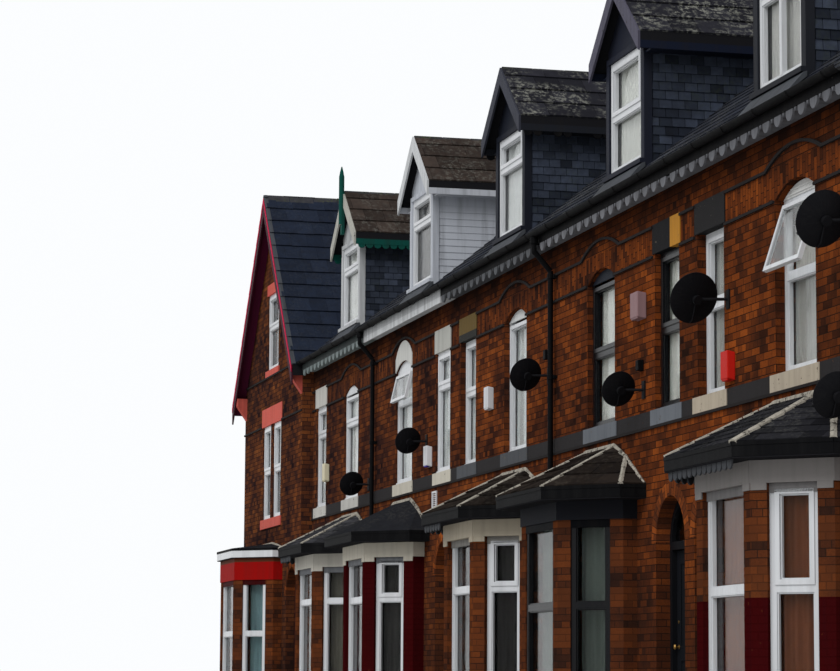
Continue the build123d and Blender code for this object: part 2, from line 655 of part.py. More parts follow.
def windows():
    """Frames and panes of the front, the attics, the dormers, the rear and the bays."""
    frames, panes = [], []

    def add(pair):
        frames.append(pair[0])
        panes.append(pair[1])

    sashes = []
    for house in TERRACE:
        y = FRONT + FRAME_SETBACKS[house.name]
        transom = FLAT_HEAD - TRANSOM_DROPS[house.name]
        if house.name in SASH_OPEN_ANGLES:
            add(casement_window(house))
            sash, pane = open_sash(house)
            sashes.append(sash)
            panes.append(pane)
        else:
            add(framed_window(house.bay, ARCHED_WIDTH / 2, SILL_TOP, ARCHED_SPRINGING, transom,
                              FRAME_FACE, y, FRAME_DEPTH, ARCHED_RISE))
        add(framed_window(house.flat, FLAT_WIDTH / 2, SILL_TOP, FLAT_HEAD, transom,
                          FRAME_FACE, y, FRAME_DEPTH))
        add(framed_window(dormer_centre(house), DORMER_WINDOW_HALF, DORMER_SILL, DORMER_HEAD,
                          DORMER_HEAD - DORMER_TRANSOM_DROPS[house.name], FRAME_FACE,
                          FRONT + DORMER_SETBACK, FRAME_DEPTH))
    y = END_FRONT + FRAME_SETBACKS[END_HOUSE.name]
    for centre in END_PAIR:
        add(framed_window(centre, END_WINDOW_WIDTH / 2, SILL_TOP, FLAT_HEAD,
                          FLAT_HEAD - TRANSOM_DROPS[END_HOUSE.name], FRAME_FACE, y, FRAME_DEPTH))
    add(framed_window(END_CENTRE, END_ATTIC_WIDTH / 2, END_ATTIC_SILL, END_ATTIC_HEAD,
                      END_ATTIC_HEAD - PLAIN_TRANSOM_DROP, FRAME_FACE, y, FRAME_DEPTH))
    rear_y = REAR - REAR_SETBACK - FRAME_DEPTH
    for house in HOUSES:
        for centre in rear_openings(house):
            for sill, head in ((REAR_GROUND_SILL, REAR_GROUND_HEAD), (SILL_TOP, FLAT_HEAD)):
                add(framed_window(centre, FLAT_WIDTH / 2, sill, head, head - PLAIN_TRANSOM_DROP,
                                  FRAME_FACE, rear_y, FRAME_DEPTH))
    save("window_frames", *frames)
    save("open_casements", *sashes)
    save("window_glass", *panes, *bay_panes(), *fanlight_panes())


def stone_sills_and_lintels():
    """Sills under every front window and lintels over the flat-headed ones."""
    sills, lintels = [], []
    for house in TERRACE:
        for centre, width in ((house.bay, ARCHED_WIDTH), (house.flat, FLAT_WIDTH)):
            half = width / 2 + SILL_HORN
            sills.append(block(centre - half, centre + half, FRONT - SILL_PROJECTION,
                               FRONT + WALL, SILL_BOTTOM, SILL_TOP))
        lintels.append(lintel_block(house.flat, FLAT_WIDTH / 2 + LINTEL_HORN, FRONT, FLAT_HEAD,
                                    LINTEL_HEIGHT))
    half = END_PAIR_OFFSET + END_WINDOW_WIDTH / 2 + SILL_HORN
    sills.append(block(END_CENTRE - half, END_CENTRE + half, END_FRONT - SILL_PROJECTION,
                       END_FRONT + WALL, SILL_BOTTOM, SILL_TOP))
    half = END_ATTIC_WIDTH / 2 + SILL_HORN
    sills.append(block(END_CENTRE - half, END_CENTRE + half, END_FRONT - SILL_PROJECTION,
                       END_FRONT + WALL, END_ATTIC_SILL - END_ATTIC_SILL_HEIGHT, END_ATTIC_SILL))
    lintels.append(lintel_block(END_CENTRE, END_LINTEL_HALF, END_FRONT, FLAT_HEAD,
                                LINTEL_HEIGHT))
    lintels.append(lintel_block(END_CENTRE, END_ATTIC_WIDTH / 2 + LINTEL_HORN, END_FRONT,
                                END_ATTIC_HEAD, END_ATTIC_LINTEL_HEIGHT))
    save("window_sills", *sills)
    save("window_lintels", *lintels)


# Mouldings
def front_runs(breaks):
    """Stretches of the terrace front that are left between (centre, half width) breaks."""
    runs = []
    start = TERRACE_FAR
    for centre, half in sorted(breaks):
        runs.append((start, centre - half))
        start = centre + half
    runs.append((start, ROW_NEAR))
    return runs


def moulding(sketch, front=FRONT, projection=MOULDING_PROJECTION):
    """A flat moulding on the face of the brickwork."""
    return along_y(sketch, front - projection, front)


def string_courses():
    """Hood mould that rises over each arched window, and the plain strings below it."""
    lintel_breaks = [(house.flat, FLAT_WIDTH / 2 + LINTEL_HORN) for house in TERRACE]
    hoods = []
    rise = HOOD_CROWN - UPPER_STRING - MOULDING
    for start, end in front_runs(lintel_breaks):
        line = rectangle(start, end, UPPER_STRING, UPPER_STRING + MOULDING)
        for house in TERRACE:
            if start < house.bay < end:
                centre, springing = house.bay, UPPER_STRING + MOULDING
                line += segment_head(centre, springing, HOOD_HALF_WIDTH, rise)
                line += rectangle(centre - HOOD_HALF_WIDTH, centre + HOOD_HALF_WIDTH,
                                  UPPER_STRING, springing)
                line -= segment_head(centre, UPPER_STRING, HOOD_HALF_WIDTH - MOULDING, rise)
        hoods.append(moulding(line))
    save("hood_mould", *hoods)
    breaks = lintel_breaks + [(house.bay, ARCHED_WIDTH / 2) for house in TERRACE]
    strings = [moulding(rectangle(start, end, LOWER_STRING - MOULDING, LOWER_STRING))
               for start, end in front_runs(breaks)]
    strings.append(moulding(rectangle(TERRACE_FAR, ROW_NEAR, SILL_BOTTOM - MOULDING,
                                      SILL_BOTTOM)))
    strings.append(moulding(rectangle(ROW_FAR, END_CENTRE - END_LINTEL_HALF,
                                      LOWER_STRING, LOWER_STRING + MOULDING), END_FRONT))
    strings.append(moulding(rectangle(END_CENTRE + END_LINTEL_HALF, TERRACE_FAR,
                                      LOWER_STRING, LOWER_STRING + MOULDING), END_FRONT))
    attic_string = END_ATTIC_SILL - END_ATTIC_SILL_HEIGHT
    attic_reach = END_HOUSE_WIDTH / 2 - KNEELER_WIDTH
    strings.append(moulding(rectangle(END_CENTRE - attic_reach, END_CENTRE + attic_reach,
                                      attic_string - MOULDING, attic_string),
                            END_FRONT) & END_INNER)
    save("string_courses", *strings)
    sill_breaks = [(house.flat, FLAT_WIDTH / 2 + SILL_HORN) for house in TERRACE]
    sill_breaks += [(house.bay, ARCHED_WIDTH / 2 + SILL_HORN) for house in TERRACE]
    band = [moulding(rectangle(start, end, SILL_BOTTOM, SILL_TOP), FRONT, BAND_PROJECTION)
            for start, end in front_runs(sill_breaks)]
    save("sill_band", *band)


# Bays
def bay_plan(house, grow):
    """A bay's canted outline in plan, grown or shrunk square to its sides."""
    base = outline((-BAY_HALF, WALL), (-BAY_HALF, -BAY_RETURN),
                   (-BAY_FRONT_HALF, -BAY_PROJECTION), (BAY_FRONT_HALF, -BAY_PROJECTION),
                   (BAY_HALF, -BAY_RETURN), (BAY_HALF, WALL))
    if grow:
        base = offset(base, grow, kind=Kind.INTERSECTION)
    before_wall = outline((-2 * BAY_HALF, -2 * BAY_PROJECTION), (2 * BAY_HALF, -2 * BAY_PROJECTION),
                          (2 * BAY_HALF, 0), (-2 * BAY_HALF, 0))
    return Pos(house.bay, house.front) * (base & before_wall)


def bay_ring(house, bottom, top, outside, inside):
    """A canted wall of the bay between two heights."""
    ring = bay_plan(house, outside) - bay_plan(house, inside)
    return extrude(Pos(0, 0, bottom) * ring, amount=top - bottom)


CANT_ANGLE = degrees(atan2(BAY_PROJECTION - BAY_RETURN, BAY_HALF - BAY_FRONT_HALF))


def bay_faces(house):
    """Places on the bay's three outer faces, with +X along each face and -Y outwards."""
    middle_x = (BAY_HALF + BAY_FRONT_HALF) / 2
    middle_y = -(BAY_PROJECTION + BAY_RETURN) / 2
    yield Pos(house.bay, house.front - BAY_PROJECTION), BAY_FRONT_WINDOW / 2
    for side in (-1, 1):
        yield (Pos(house.bay + side * middle_x, house.front + middle_y)
               * Rot(0, 0, side * CANT_ANGLE), BAY_SIDE_WINDOW / 2)


def bay_window(house, half):
    """The frame and pane of one bay window, in the place of its face."""
    return framed_window(0, half, BAY_SILL_TOP, BAY_HEAD,
                         BAY_HEAD - BAY_TRANSOM_DROPS[house.name], FRAME_FACE,
                         BAY_FRAME_SETBACKS[house.name], FRAME_DEPTH)


def bay_band_top(house):
    """Where the band of lintels ends and the boarded eaves begins."""
    return BAY_HEAD + (END_BAY_LINTEL_HEIGHT if house is END_HOUSE else BAY_LINTEL_HEIGHT)


def bay_panes():
    """The panes of every bay."""
    return [place * bay_window(house, half)[1] for house in HOUSES
            for place, half in bay_faces(house)]


def bays():
    """Dwarf walls, sills, piers, lintels, windows, floors and roofs of the six canted bays."""
    walls, sills, piers, lintels, roofs, frames, slabs = [], [], [], [], [], [], []
    for house in HOUSES:
        walls.append(bay_ring(house, 0, BAY_SILL_TOP - BAY_SILL_HEIGHT, 0, -BAY_WALL))
        sills.append(bay_ring(house, BAY_SILL_TOP - BAY_SILL_HEIGHT, BAY_SILL_TOP,
                              BAY_SILL_PROJECTION, -BAY_WALL))
        posts = bay_ring(house, BAY_SILL_TOP, BAY_HEAD, 0, -BAY_WALL)
        for place, half in bay_faces(house):
            posts -= place * block(-half, half, -BAY_WALL, 2 * BAY_WALL, BAY_SILL_TOP, BAY_HEAD)
            frames.append(place * bay_window(house, half)[0])
        piers.append(posts)
        band = bay_ring(house, BAY_HEAD, bay_band_top(house), BAY_LINTEL_PROJECTION, -BAY_WALL)
        for side in (-1, 1):
            corner = Pos(house.bay + side * BAY_FRONT_HALF, house.front - BAY_PROJECTION)
            joint = Rot(0, 0, side * CANT_ANGLE / 2) * Box(MORTAR, 3 * BAY_WALL, 3 * HOUSE_DEPTH)
            band -= corner * joint
        lintels.append(band)
        slab = extrude(Pos(0, 0, GROUND_FLOOR - FLOOR_DEPTH) * bay_plan(house, -BAY_WALL),
                       amount=FLOOR_DEPTH)
        reach = BAY_HALF - BAY_WALL
        slabs.append(slab + block(house.bay - reach, house.bay + reach, house.front,
                                  house.front + WALL, GROUND_FLOOR - FLOOR_DEPTH, GROUND_FLOOR))
        roofs.append(bay_roof(house))
    save("bay_walls", *walls)
    save("bay_sills", *sills)
    save("bay_piers", *piers)
    save("bay_lintels", *lintels)
    save("bay_window_frames", *frames)
    save("bay_floors", *slabs)
    save("bay_roofs", *roofs)


def bay_roof(house):
    """A lean-to roof with canted ends, all slopes of one pitch, over a boarded eaves."""
    end = house is END_HOUSE
    front_out = END_BAY_OVERHANG if end else BAY_FRONT_OVERHANG
    side_out = END_BAY_OVERHANG if end else BAY_SIDE_OVERHANG
    rise = END_BAY_ROOF_RISE if end else BAY_ROOF_RISE
    depth = END_BAY_FASCIA if end else BAY_EAVES
    along, deep = BAY_HALF - BAY_FRONT_HALF, BAY_PROJECTION - BAY_RETURN
    nx, ny = deep / hypot(along, deep), -along / hypot(along, deep)
    reach = nx * BAY_FRONT_HALF - ny * BAY_PROJECTION + side_out
    run = BAY_PROJECTION + front_out
    corner_x = (reach + ny * run) / nx
    side_x = BAY_HALF + side_out
    shoulder_y = (reach - nx * side_x) / ny
    top_x = (reach - run) / nx
    break_x = (side_x - reach) / (1 - nx)
    low = bay_band_top(house) + depth
    high = low + rise
    middle = low + rise * (side_x - break_x) / run

    def half_ring(side):
        """Eaves corners from the front to the wall, then the two points of the slopes' tops."""
        points = [(corner_x, -run, low), (side_x, shoulder_y, low), (side_x, 0, low),
                  (break_x, 0, middle), (top_x, 0, high)]
        return [Vector(house.bay + side * x, house.front + y, z) for x, y, z in points]

    right, left = half_ring(1), half_ring(-1)
    rings = [right[:3] + left[2::-1], right[:1] + right[4:] + left[4:] + left[:1],
             right[2:] + left[:1:-1]]
    for corner, shoulder, foot, bend, top in (right, left):
        rings += [[corner, shoulder, bend, top], [shoulder, foot, bend]]
    faces = [Face(Wire.make_polygon(ring, close=True)) for ring in rings]
    eaves = extrude(outline(*[(p.X, p.Y) for p in rings[0]]), amount=-depth)
    return Pos(0, 0, low) * eaves + Solid(Shell(faces))


# Doors
def door_frame_front(house):
    """The street side of a door frame, inside the reveal."""
    return house.front + DOOR_FRAME_SETBACK


def fanlight(house):
    """The half-round light over a door."""
    disc = Pos(house.door, DOOR_SPRINGING) * Circle(DOOR_RADIUS - DOOR_FRAME_FACE)
    return disc & rectangle(house.door - DOOR_RADIUS, house.door + DOOR_RADIUS,
                            DOOR_SPRINGING, HIGH)


def fanlight_panes():
    """The glass of every fanlight, in the middle of its frame."""
    panes = []
    for house in HOUSES:
        middle = door_frame_front(house) + DOOR_FRAME_DEPTH / 2
        panes.append(along_y(fanlight(house), middle - GLASS / 2, middle + GLASS / 2))
    return panes


def doors():
    """Frames, fanlight frames, hinges and the six panelled leaves that open inwards."""
    jambs, heads, hinges = [], [], []
    for house in HOUSES:
        y0 = door_frame_front(house)
        y1 = y0 + DOOR_FRAME_DEPTH
        leaf_top = DOOR_SPRINGING - DOOR_HEAD
        for side in (-1, 1):
            edge = house.door + side * DOOR_RADIUS
            inner = edge - side * DOOR_FRAME_FACE
            jambs.append(block(min(edge, inner), max(edge, inner), y0, y1,
                               GROUND_FLOOR, leaf_top))
        half_disc = (Pos(house.door, DOOR_SPRINGING) * Circle(DOOR_RADIUS)
                     & rectangle(house.door - DOOR_RADIUS, house.door + DOOR_RADIUS,
                                 DOOR_SPRINGING, HIGH))
        bar = rectangle(house.door - DOOR_RADIUS, house.door + DOOR_RADIUS,
                        leaf_top, DOOR_SPRINGING)
        heads.append(along_y(half_disc + bar - fanlight(house), y0, y1))
        hinges += [fixed_hinge(house, middle) for middle in HINGE_MIDDLES]
        save(f"front_door_{house.name}", door_leaf(house))
    save("door_jambs", *jambs)
    save("door_hinges", *hinges)
    save("fanlight_frames", *heads)


def hinge_line(house):
    """Where the line a leaf turns on stands in plan."""
    half = DOOR_RADIUS - DOOR_FRAME_FACE - DOOR_GAP
    return (house.door + house.hall * half,
            door_frame_front(house) + DOOR_FRAME_DEPTH + HINGE_BACK)


HINGE_MIDDLES = (GROUND_FLOOR + HINGE_INSET, DOOR_SPRINGING - DOOR_HEAD - HINGE_INSET)


def barrel(house, radius, low, high):
    """A round length about a leaf's hinge line."""
    return Pos(*hinge_line(house), low) * Cylinder(radius, high - low,
                                                   align=(Align.CENTER, Align.CENTER, Align.MIN))


def hinge_flap(house, start, end, low, high):
    """A flap on the inner face of leaf or jamb, between two distances from the hinge line."""
    x, y = hinge_line(house)
    x0, x1 = sorted((x + house.hall * start, x + house.hall * end))
    return block(x0, x1, y - HINGE_BACK, y - HINGE_BACK + HINGE_FLAP, low, high)


def fixed_hinge(house, middle):
    """The pin, end knuckles and flaps that stay on the jamb."""
    ends = (middle - HINGE_LENGTH / 2, middle + HINGE_LENGTH / 2)
    solid = barrel(house, HINGE_PIN, *ends)
    for low, high in ((ends[0], ends[0] + HINGE_KNUCKLE), (ends[1] - HINGE_KNUCKLE, ends[1])):
        solid += barrel(house, HINGE_BARREL, low, high)
        solid += hinge_flap(house, HINGE_CLEAR, HINGE_REACH, low, high)
    return solid


def leaf_hinge(house, middle):
    """The middle knuckle and flap that turn with the leaf."""
    half = HINGE_LENGTH / 2 - HINGE_KNUCKLE - HINGE_PLAY
    low, high = middle - half, middle + half
    solid = barrel(house, HINGE_BARREL, low, high)
    solid += hinge_flap(house, -HINGE_REACH, 0, low, high)
    return solid - barrel(house, HINGE_PIN + HINGE_SLACK, low, high)


def door_leaf(house):
    """A leaf with two tall panels above its lock rail and two short ones below."""
    y1 = door_frame_front(house) + DOOR_FRAME_DEPTH
    y0 = y1 - DOOR_LEAF
    half = DOOR_RADIUS - DOOR_FRAME_FACE - DOOR_GAP
    bottom = GROUND_FLOOR + DOOR_GAP
    top = DOOR_SPRINGING - DOOR_HEAD - DOOR_GAP
    leaf = block(house.door - half, house.door + half, y0, y1, bottom, top)
    for side in (-1, 1):
        near = house.door + side * PANEL_MARGIN / 2
        far = house.door + side * (half - PANEL_MARGIN)
        for low, high in ((bottom + BOTTOM_RAIL, bottom + LOCK_RAIL - RAIL / 2),
                          (bottom + LOCK_RAIL + RAIL / 2, top - RAIL)):
            leaf -= block(min(near, far), max(near, far), y0, y0 + PANEL_SINK, low, high)
    for middle in HINGE_MIDDLES:
        leaf += leaf_hinge(house, middle)
    return leaf


def door_steps():
    """Stone steps that rise to each threshold, which runs through the doorway."""
    flights = []
    treads = round(GROUND_FLOOR / STEP_RISE) - 1
    for house in HOUSES:
        points = [(house.front + WALL, 0)]
        for i in range(treads):
            y = house.front - (treads - i) * STEP_GOING
            points += [(y, i * STEP_RISE), (y, (i + 1) * STEP_RISE)]
        points += [(house.front, treads * STEP_RISE), (house.front, GROUND_FLOOR),
                   (house.front + WALL, GROUND_FLOOR)]
        flight = along_x(points, house.door - STEP_WIDTH / 2, house.door + STEP_WIDTH / 2)
        for side in (-1, 1):
            edge = house.door + side * DOOR_RADIUS
            out = edge + side * STEP_WIDTH
            flight -= block(min(edge, out), max(edge, out), house.front, house.front + WALL,
                            0, HIGH)
        flights.append(flight)
    save("door_steps", *flights)


# Eaves and rainwater goods
def valance_outline(house, start, end):
    """A fascia board with a row of rounded drops cut along its lower edge."""
    top = MAIN_EAVES
    if house.name == PLAIN_FASCIA_HOUSE:
        return rectangle(start, end, PLAIN_FASCIA_BOTTOM, top)
    shape = rectangle(start, end, VALANCE_BOTTOM, top)
    pitch = (end - start) / LOBES_PER_HOUSE
    radius = pitch * LOBE_SHARE / 2
    for i in range(LOBES_PER_HOUSE):
        centre = start + (i + 0.5) * pitch
        shape += rectangle(centre - radius, centre + radius, VALANCE_TIP + radius, VALANCE_BOTTOM)
        shape += Pos(centre, VALANCE_TIP + radius) * Circle(radius)
        if i:
            joint = start + i * pitch
            shape += outline((joint - TOOTH_HALF, VALANCE_BOTTOM),
                             (joint, VALANCE_BOTTOM - TOOTH_DROP),
                             (joint + TOOTH_HALF, VALANCE_BOTTOM))
    return shape


def eaves_boards():
    """Fascia, valance and soffit boards, one length for each terrace house, and the rear."""
    boards = []
    y0 = EAVES_FACE - VALANCE_BOARD
    foot = MAIN_EAVES - ROOF_DROP
    for house in TERRACE:
        start = house.far + (VALLEY_LAP + MORTAR if house is TERRACE[0] else MORTAR / 2)
        end = house.near - (0 if house is TERRACE[-1] else MORTAR / 2)
        board = along_y(valance_outline(house, start, end), y0, EAVES_FACE)
        soffit_start = house.far + (0 if house is TERRACE[0] else MORTAR / 2)
        board += block(max(start, soffit_start), end, EAVES_FACE, FRONT,
                       foot - SOFFIT, foot)
        boards.append(board)
    rear = block(TERRACE_FAR + VALLEY_LAP + MORTAR, ROW_NEAR, -EAVES_FACE,
                 -EAVES_FACE + VALANCE_BOARD, foot - SOFFIT, MAIN_EAVES)
    rear += block(TERRACE_FAR + VALLEY_LAP + MORTAR, ROW_NEAR, REAR, -EAVES_FACE,
                  foot - SOFFIT, foot)
    boards.append(rear)
    save("eaves_boards", *boards)


def end_gable_boards():
    """Bargeboards on both verges of the end house, and the kneelers at their feet."""
    depth = END_BARGE_DEPTH / cos(radians(END_ROOF_PITCH))
    left = ROW_FAR - END_EAVES_OVERHANG
    right = TERRACE_FAR + VALLEY_LAP
    left_foot = RIDGE - END_SLOPE * (END_CENTRE - left)
    right_foot = RIDGE - END_SLOPE * (right - END_CENTRE)
    shape = outline((left, left_foot), (END_CENTRE, RIDGE), (right, right_foot),
                    (right, right_foot - depth), (END_CENTRE, RIDGE - depth),
                    (left, left_foot - depth))
    boards = [along_y(shape, END_ROOF_FRONT - BOARD, END_ROOF_FRONT),
              along_y(shape, END_ROOF_REAR, END_ROOF_REAR + BOARD)]
    save("gable_bargeboards", *boards)
    kneelers = []
    for outer, side in ((ROW_FAR, 1), (TERRACE_FAR, -1)):
        inner = outer + side * KNEELER_WIDTH
        top = RIDGE - END_SLOPE * (END_HOUSE_WIDTH / 2) - END_ROOF_DROP
        points = [(END_FRONT, top), (END_ROOF_FRONT, top), (END_ROOF_FRONT, top - KNEELER_LIP),
                  (END_FRONT, top - KNEELER_HEIGHT)]
        kneelers.append(along_x(points, min(outer, inner), max(outer, inner)))
    save("gable_kneelers", *kneelers)


def half_pipe(centre_y, top):
    """A half-round gutter seen end on."""
    ring = Circle(GUTTER_RADIUS) - Circle(GUTTER_RADIUS - GUTTER_WALL)
    lower = outline((-GUTTER_RADIUS, -GUTTER_RADIUS), (GUTTER_RADIUS, -GUTTER_RADIUS),
                    (GUTTER_RADIUS, 0), (-GUTTER_RADIUS, 0))
    return Pos(centre_y, top) * (ring & lower)


def gutters():
    """Half-round gutters along the terrace, its rear and the end house's outer eaves."""
    start = TERRACE_FAR + VALLEY_LAP + MORTAR
    runs = []
    for line in (GUTTER_LINE, -GUTTER_LINE):
        face = Plane.YZ.offset(start) * half_pipe(line, GUTTER_TOP)
        runs.append(extrude(face, amount=ROW_NEAR - start, dir=(1, 0, 0)))
    side_line = ROW_FAR - END_EAVES_OVERHANG - GUTTER_RADIUS
    side_top = RIDGE - END_SLOPE * (END_CENTRE - ROW_FAR + END_EAVES_OVERHANG)
    runs.append(along_y(half_pipe(side_line, side_top), END_FRONT, REAR))
    save("gutters", *runs)


def pipe(points):
    """A round pipe through straight runs between the given points."""
    path = Polyline(*points)
    start = Plane(origin=points[0], z_dir=Vector(*points[1]) - Vector(*points[0]))
    return sweep(start * Circle(PIPE_RADIUS), path=path, transition=Transition.ROUND)


def downpipes():
    """Rainwater pipes with swan necks from the gutter, on the party lines between bays."""
    pipes = []
    top = GUTTER_TOP - GUTTER_RADIUS
    for x in (TERRACE[0].near, TERRACE[2].near):
        pipes.append(pipe([(x, GUTTER_LINE, top), (x, GUTTER_LINE, SWAN_NECK_TOP),
                           (x, PIPE_LINE, SWAN_NECK_BOTTOM), (x, PIPE_LINE, PIPE_SHOE)]))
    save("downpipes", *pipes)


# Dishes and alarm boxes
def above_sill(share):
    """A height given as a share of the window height above the first-floor sills."""
    return SILL_TOP + share * (FLAT_HEAD - SILL_TOP)


def dish(x, z, radius):
    """A satellite dish: a shallow bowl on an arm from a wall plate."""
    steps = [i / DISH_RINGS for i in range(DISH_RINGS + 1)]
    under = [(radius * s, DISH_SAG_SHARE * radius * s * s) for s in steps]
    over = [(r, h + DISH_SHELL) for r, h in reversed(under)]
    bowl = revolve(Plane.XZ * outline(*under, *over), Axis.Z)
    turned = Rot(0, 0, -DISH_TURN) * Rot(90 - DISH_TILT, 0, 0) * bowl
    hub = Vector(x, FRONT - radius - DISH_CLEARANCE, z)
    arm_foot = hub.X + DISH_ARM_REACH
    plate = block(arm_foot - DISH_PLATE / 2, arm_foot + DISH_PLATE / 2, FRONT - DISH_ARM, FRONT,
                  z - DISH_PLATE, z + DISH_PLATE)
    start = Vector(arm_foot, FRONT - DISH_ARM / 2, z)
    run = hub - start
    arm = Plane(origin=start, z_dir=run) * Cylinder(DISH_ARM, run.length,
                                                    align=(Align.CENTER, Align.CENTER, Align.MIN))
    return (Pos(hub.X, hub.Y, hub.Z) * turned) + arm + plate


def alarm_box(house, gap, z, width):
    """A bell box beside the flat-headed window, on the side away from the front door."""
    x = house.flat - house.hall * (FLAT_WIDTH / 2 + gap)
    return block(x - width / 2, x + width / 2, FRONT - ALARM_DEPTH_SHARE * width, FRONT,
                 z - ALARM_HEIGHT / 2, z + ALARM_HEIGHT / 2)


def wall_fittings():
    """Satellite dishes and alarm boxes on the front."""
    named = {house.name: house for house in TERRACE}
    save("satellite_dishes", *[dish(named[name].far + across * HOUSE_WIDTH, above_sill(up), radius)
                               for name, across, up, radius in DISHES])
    save("alarm_boxes", *[alarm_box(named[name], gap, above_sill(up), width)
                          for name, gap, up, width in ALARMS])


terrace_upper_walls()
end_front_wall()
ground_floor_piers()
ground_floor_heads()
door_arches()
end_and_party_walls()
rear_walls()
floors()
main_roof()
end_roof()
ridges()
dormers()
windows()
stone_sills_and_lintels()
string_courses()
bays()
doors()
door_steps()
eaves_boards()
end_gable_boards()
gutters()
downpipes()
wall_fittings()
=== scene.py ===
import random
from math import asin, atan2, ceil, cos, degrees, floor, pi, radians, sin, sqrt, tan

import bmesh
import bpy
from bpy.props import FloatProperty, FloatVectorProperty, PointerProperty
from mathutils import Matrix, Vector


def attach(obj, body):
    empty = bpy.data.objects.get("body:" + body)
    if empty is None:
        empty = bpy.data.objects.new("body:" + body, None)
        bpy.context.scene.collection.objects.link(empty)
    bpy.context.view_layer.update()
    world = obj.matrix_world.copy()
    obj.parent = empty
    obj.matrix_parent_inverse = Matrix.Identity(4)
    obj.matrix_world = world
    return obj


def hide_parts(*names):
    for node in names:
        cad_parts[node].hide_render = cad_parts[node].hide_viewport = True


bl_info = {
    "name": "Terraced house row",
    "version": (1, 0, 0),
    "blender": (4, 5, 0),
    "location": "View3D > Sidebar > Terrace",
    "description": "Dresses a row of brick terraced houses with roof tiles, joinery and finishes",
    "category": "Add Mesh",
}

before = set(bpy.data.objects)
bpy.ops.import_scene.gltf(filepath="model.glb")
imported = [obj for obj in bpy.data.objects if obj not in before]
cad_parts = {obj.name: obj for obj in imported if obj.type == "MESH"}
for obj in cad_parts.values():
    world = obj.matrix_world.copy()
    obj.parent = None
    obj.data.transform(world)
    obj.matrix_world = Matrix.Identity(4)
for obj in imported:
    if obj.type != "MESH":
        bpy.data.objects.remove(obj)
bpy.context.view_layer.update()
HOUSES = "abcdef"
TERRACE = HOUSES[1:]


def row(*values):
    """Values for the houses in turn: six from the end house on, or five from the next."""
    return dict(zip(HOUSES[-len(values):], values))


# Places in metres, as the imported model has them: the far edge and the front of each house,
# then the centres of its bay, its door and the side its hall lies on, and its windows
FAR = row(-15.6, -10.0, -5.0, 0.0, 5.0, 10.0)
FRONT = row(-4.2, -4.0, -4.0, -4.0, -4.0, -4.0)
BAY = row(-13.0, -6.87, -3.13, 3.13, 6.87, 13.13)
DOOR = row(-10.8, -9.36, -0.64, 0.64, 9.36, 10.64)
HALL = row(1, -1, 1, -1, 1, -1)
FLAT = row(-9.29, -0.71, 0.71, 9.29, 10.71)
PAIR = (-13.29, -12.31)
DORMER = row(-7.5, -2.5, 2.5, 7.5, 12.5)
REAR_WINDOWS = [*PAIR, *(place[letter] for letter in TERRACE for place in (BAY, FLAT))]
# How far back each window stands, and the height of its transom
SETBACK = row(0.025, 0.035, 0.03, 0.075, 0.07, 0.1)
TRANSOM = row(5.05, 5.41, 5.4, 5.17, 5.04, 5.125)
BAY_SETBACK = row(0.02, 0.04, 0.05, 0.065, 0.015, 0.055)
BAY_TRANSOM = row(2.05, 2.47, 2.4, 2.36, 2.05, 2.05)
DORMER_TRANSOM = row(8.03, 8.03, 8.03, 7.78, 8.03)
# Width of a frame's face, and the sill and head of each kind of window
FACE = 0.065
BAY_HEIGHTS, UPPER_HEIGHTS, ATTIC_HEIGHTS = (1.2, 3.01), (4.17, 5.9), (6.92, 8.33)
DORMER_HEIGHTS, REAR_HEIGHTS = (7.11, 8.45), (1.5, 2.9)
# Foot of the door arches, the wall's face and the roof's height over it, and the eaves
SPRINGING = 2.72
WALL, WALL_TOP = 4.0, 6.9
EAVES_Y, EAVES = 4.2, 6.738
PITCH = radians(39)
RIDGE = WALL_TOP + WALL * tan(PITCH)
ROW_END = 15.0
# The end house's roof, and how far it runs out on the near side and on the far one
END_CENTRE, END_PITCH, VERGE = -12.8, radians(50), -4.392
END_RUNS = {1: 2.9, -1: 3.05}
# The dormers: roof, front, half width of the walls and of the eaves, and verge
DORMER_PITCH, DORMER_APEX, DORMER_Y = radians(41), 9.35, -3.88
DORMER_WIDE, DORMER_EDGE, DORMER_VERGE = 0.7, 0.95, -4.022
DORMER_FOOT = DORMER_APEX - DORMER_EDGE * tan(DORMER_PITCH)
DORMER_EAVES = DORMER_FOOT - 0.08 / cos(DORMER_PITCH) - 0.09
# What covers each bay, and the gauge, width and lift of one tile
COVERS = row("felt", "bay_slate", "felt", "bay_roof_tile", "bay_roof_tile", "bay_slate")
COVER_SIZES = {"bay_slate": (0.15, 0.22, 0.01), "bay_roof_tile": (0.3, 0.33, 0.018),
               "felt": (1.2, 1.1, 0.004), "dormer_tile": (0.348, 0.33, 0.02),
               "cheek_slate": (0.104, 0.155, 0.012), "white_board": (0.1, 6.0, 0.008)}
SLATE_LIFT, TILE_LIFT = 0.011, 0.024
# Half widths of the strips on the bay hips, and how many drops hang on the front of a bay
HIPS = {"b": (0.038,) * 4, "d": (0.04,) * 4, "e": (0.034,) * 4, "f": (0.03, 0.034, 0.06, 0.04)}
DROPS = {"b": 6, "d": 6, "f": 13}
# Place along the row, height and size of each fitting
DISHES = [(-5.6, 4.308, 0.2), (-1.75, 4.68, 0.2), (4.62, 4.983, 0.213), (8.4, 4.43, 0.205),
          (11.17, 5.087, 0.27), (14.71, 5.346, 0.27), (14.82, 3.738, 0.22)]
BOXES = [(-8.7, 4.724, 0.12, "box_cream"), (-1.45, 4.447, 0.12, "box_white"),
         (1.95, 4.966, 0.12, "box_white"), (8.43, 5.381, 0.15, "box_rose"),
         (11.33, 4.395, 0.12, "box_red")]
UP = Vector((0, 0, 1))


def roof_y(height):
    """Where the front slope of the main roof reaches a height."""
    return (height - WALL_TOP) / tan(PITCH) - WALL


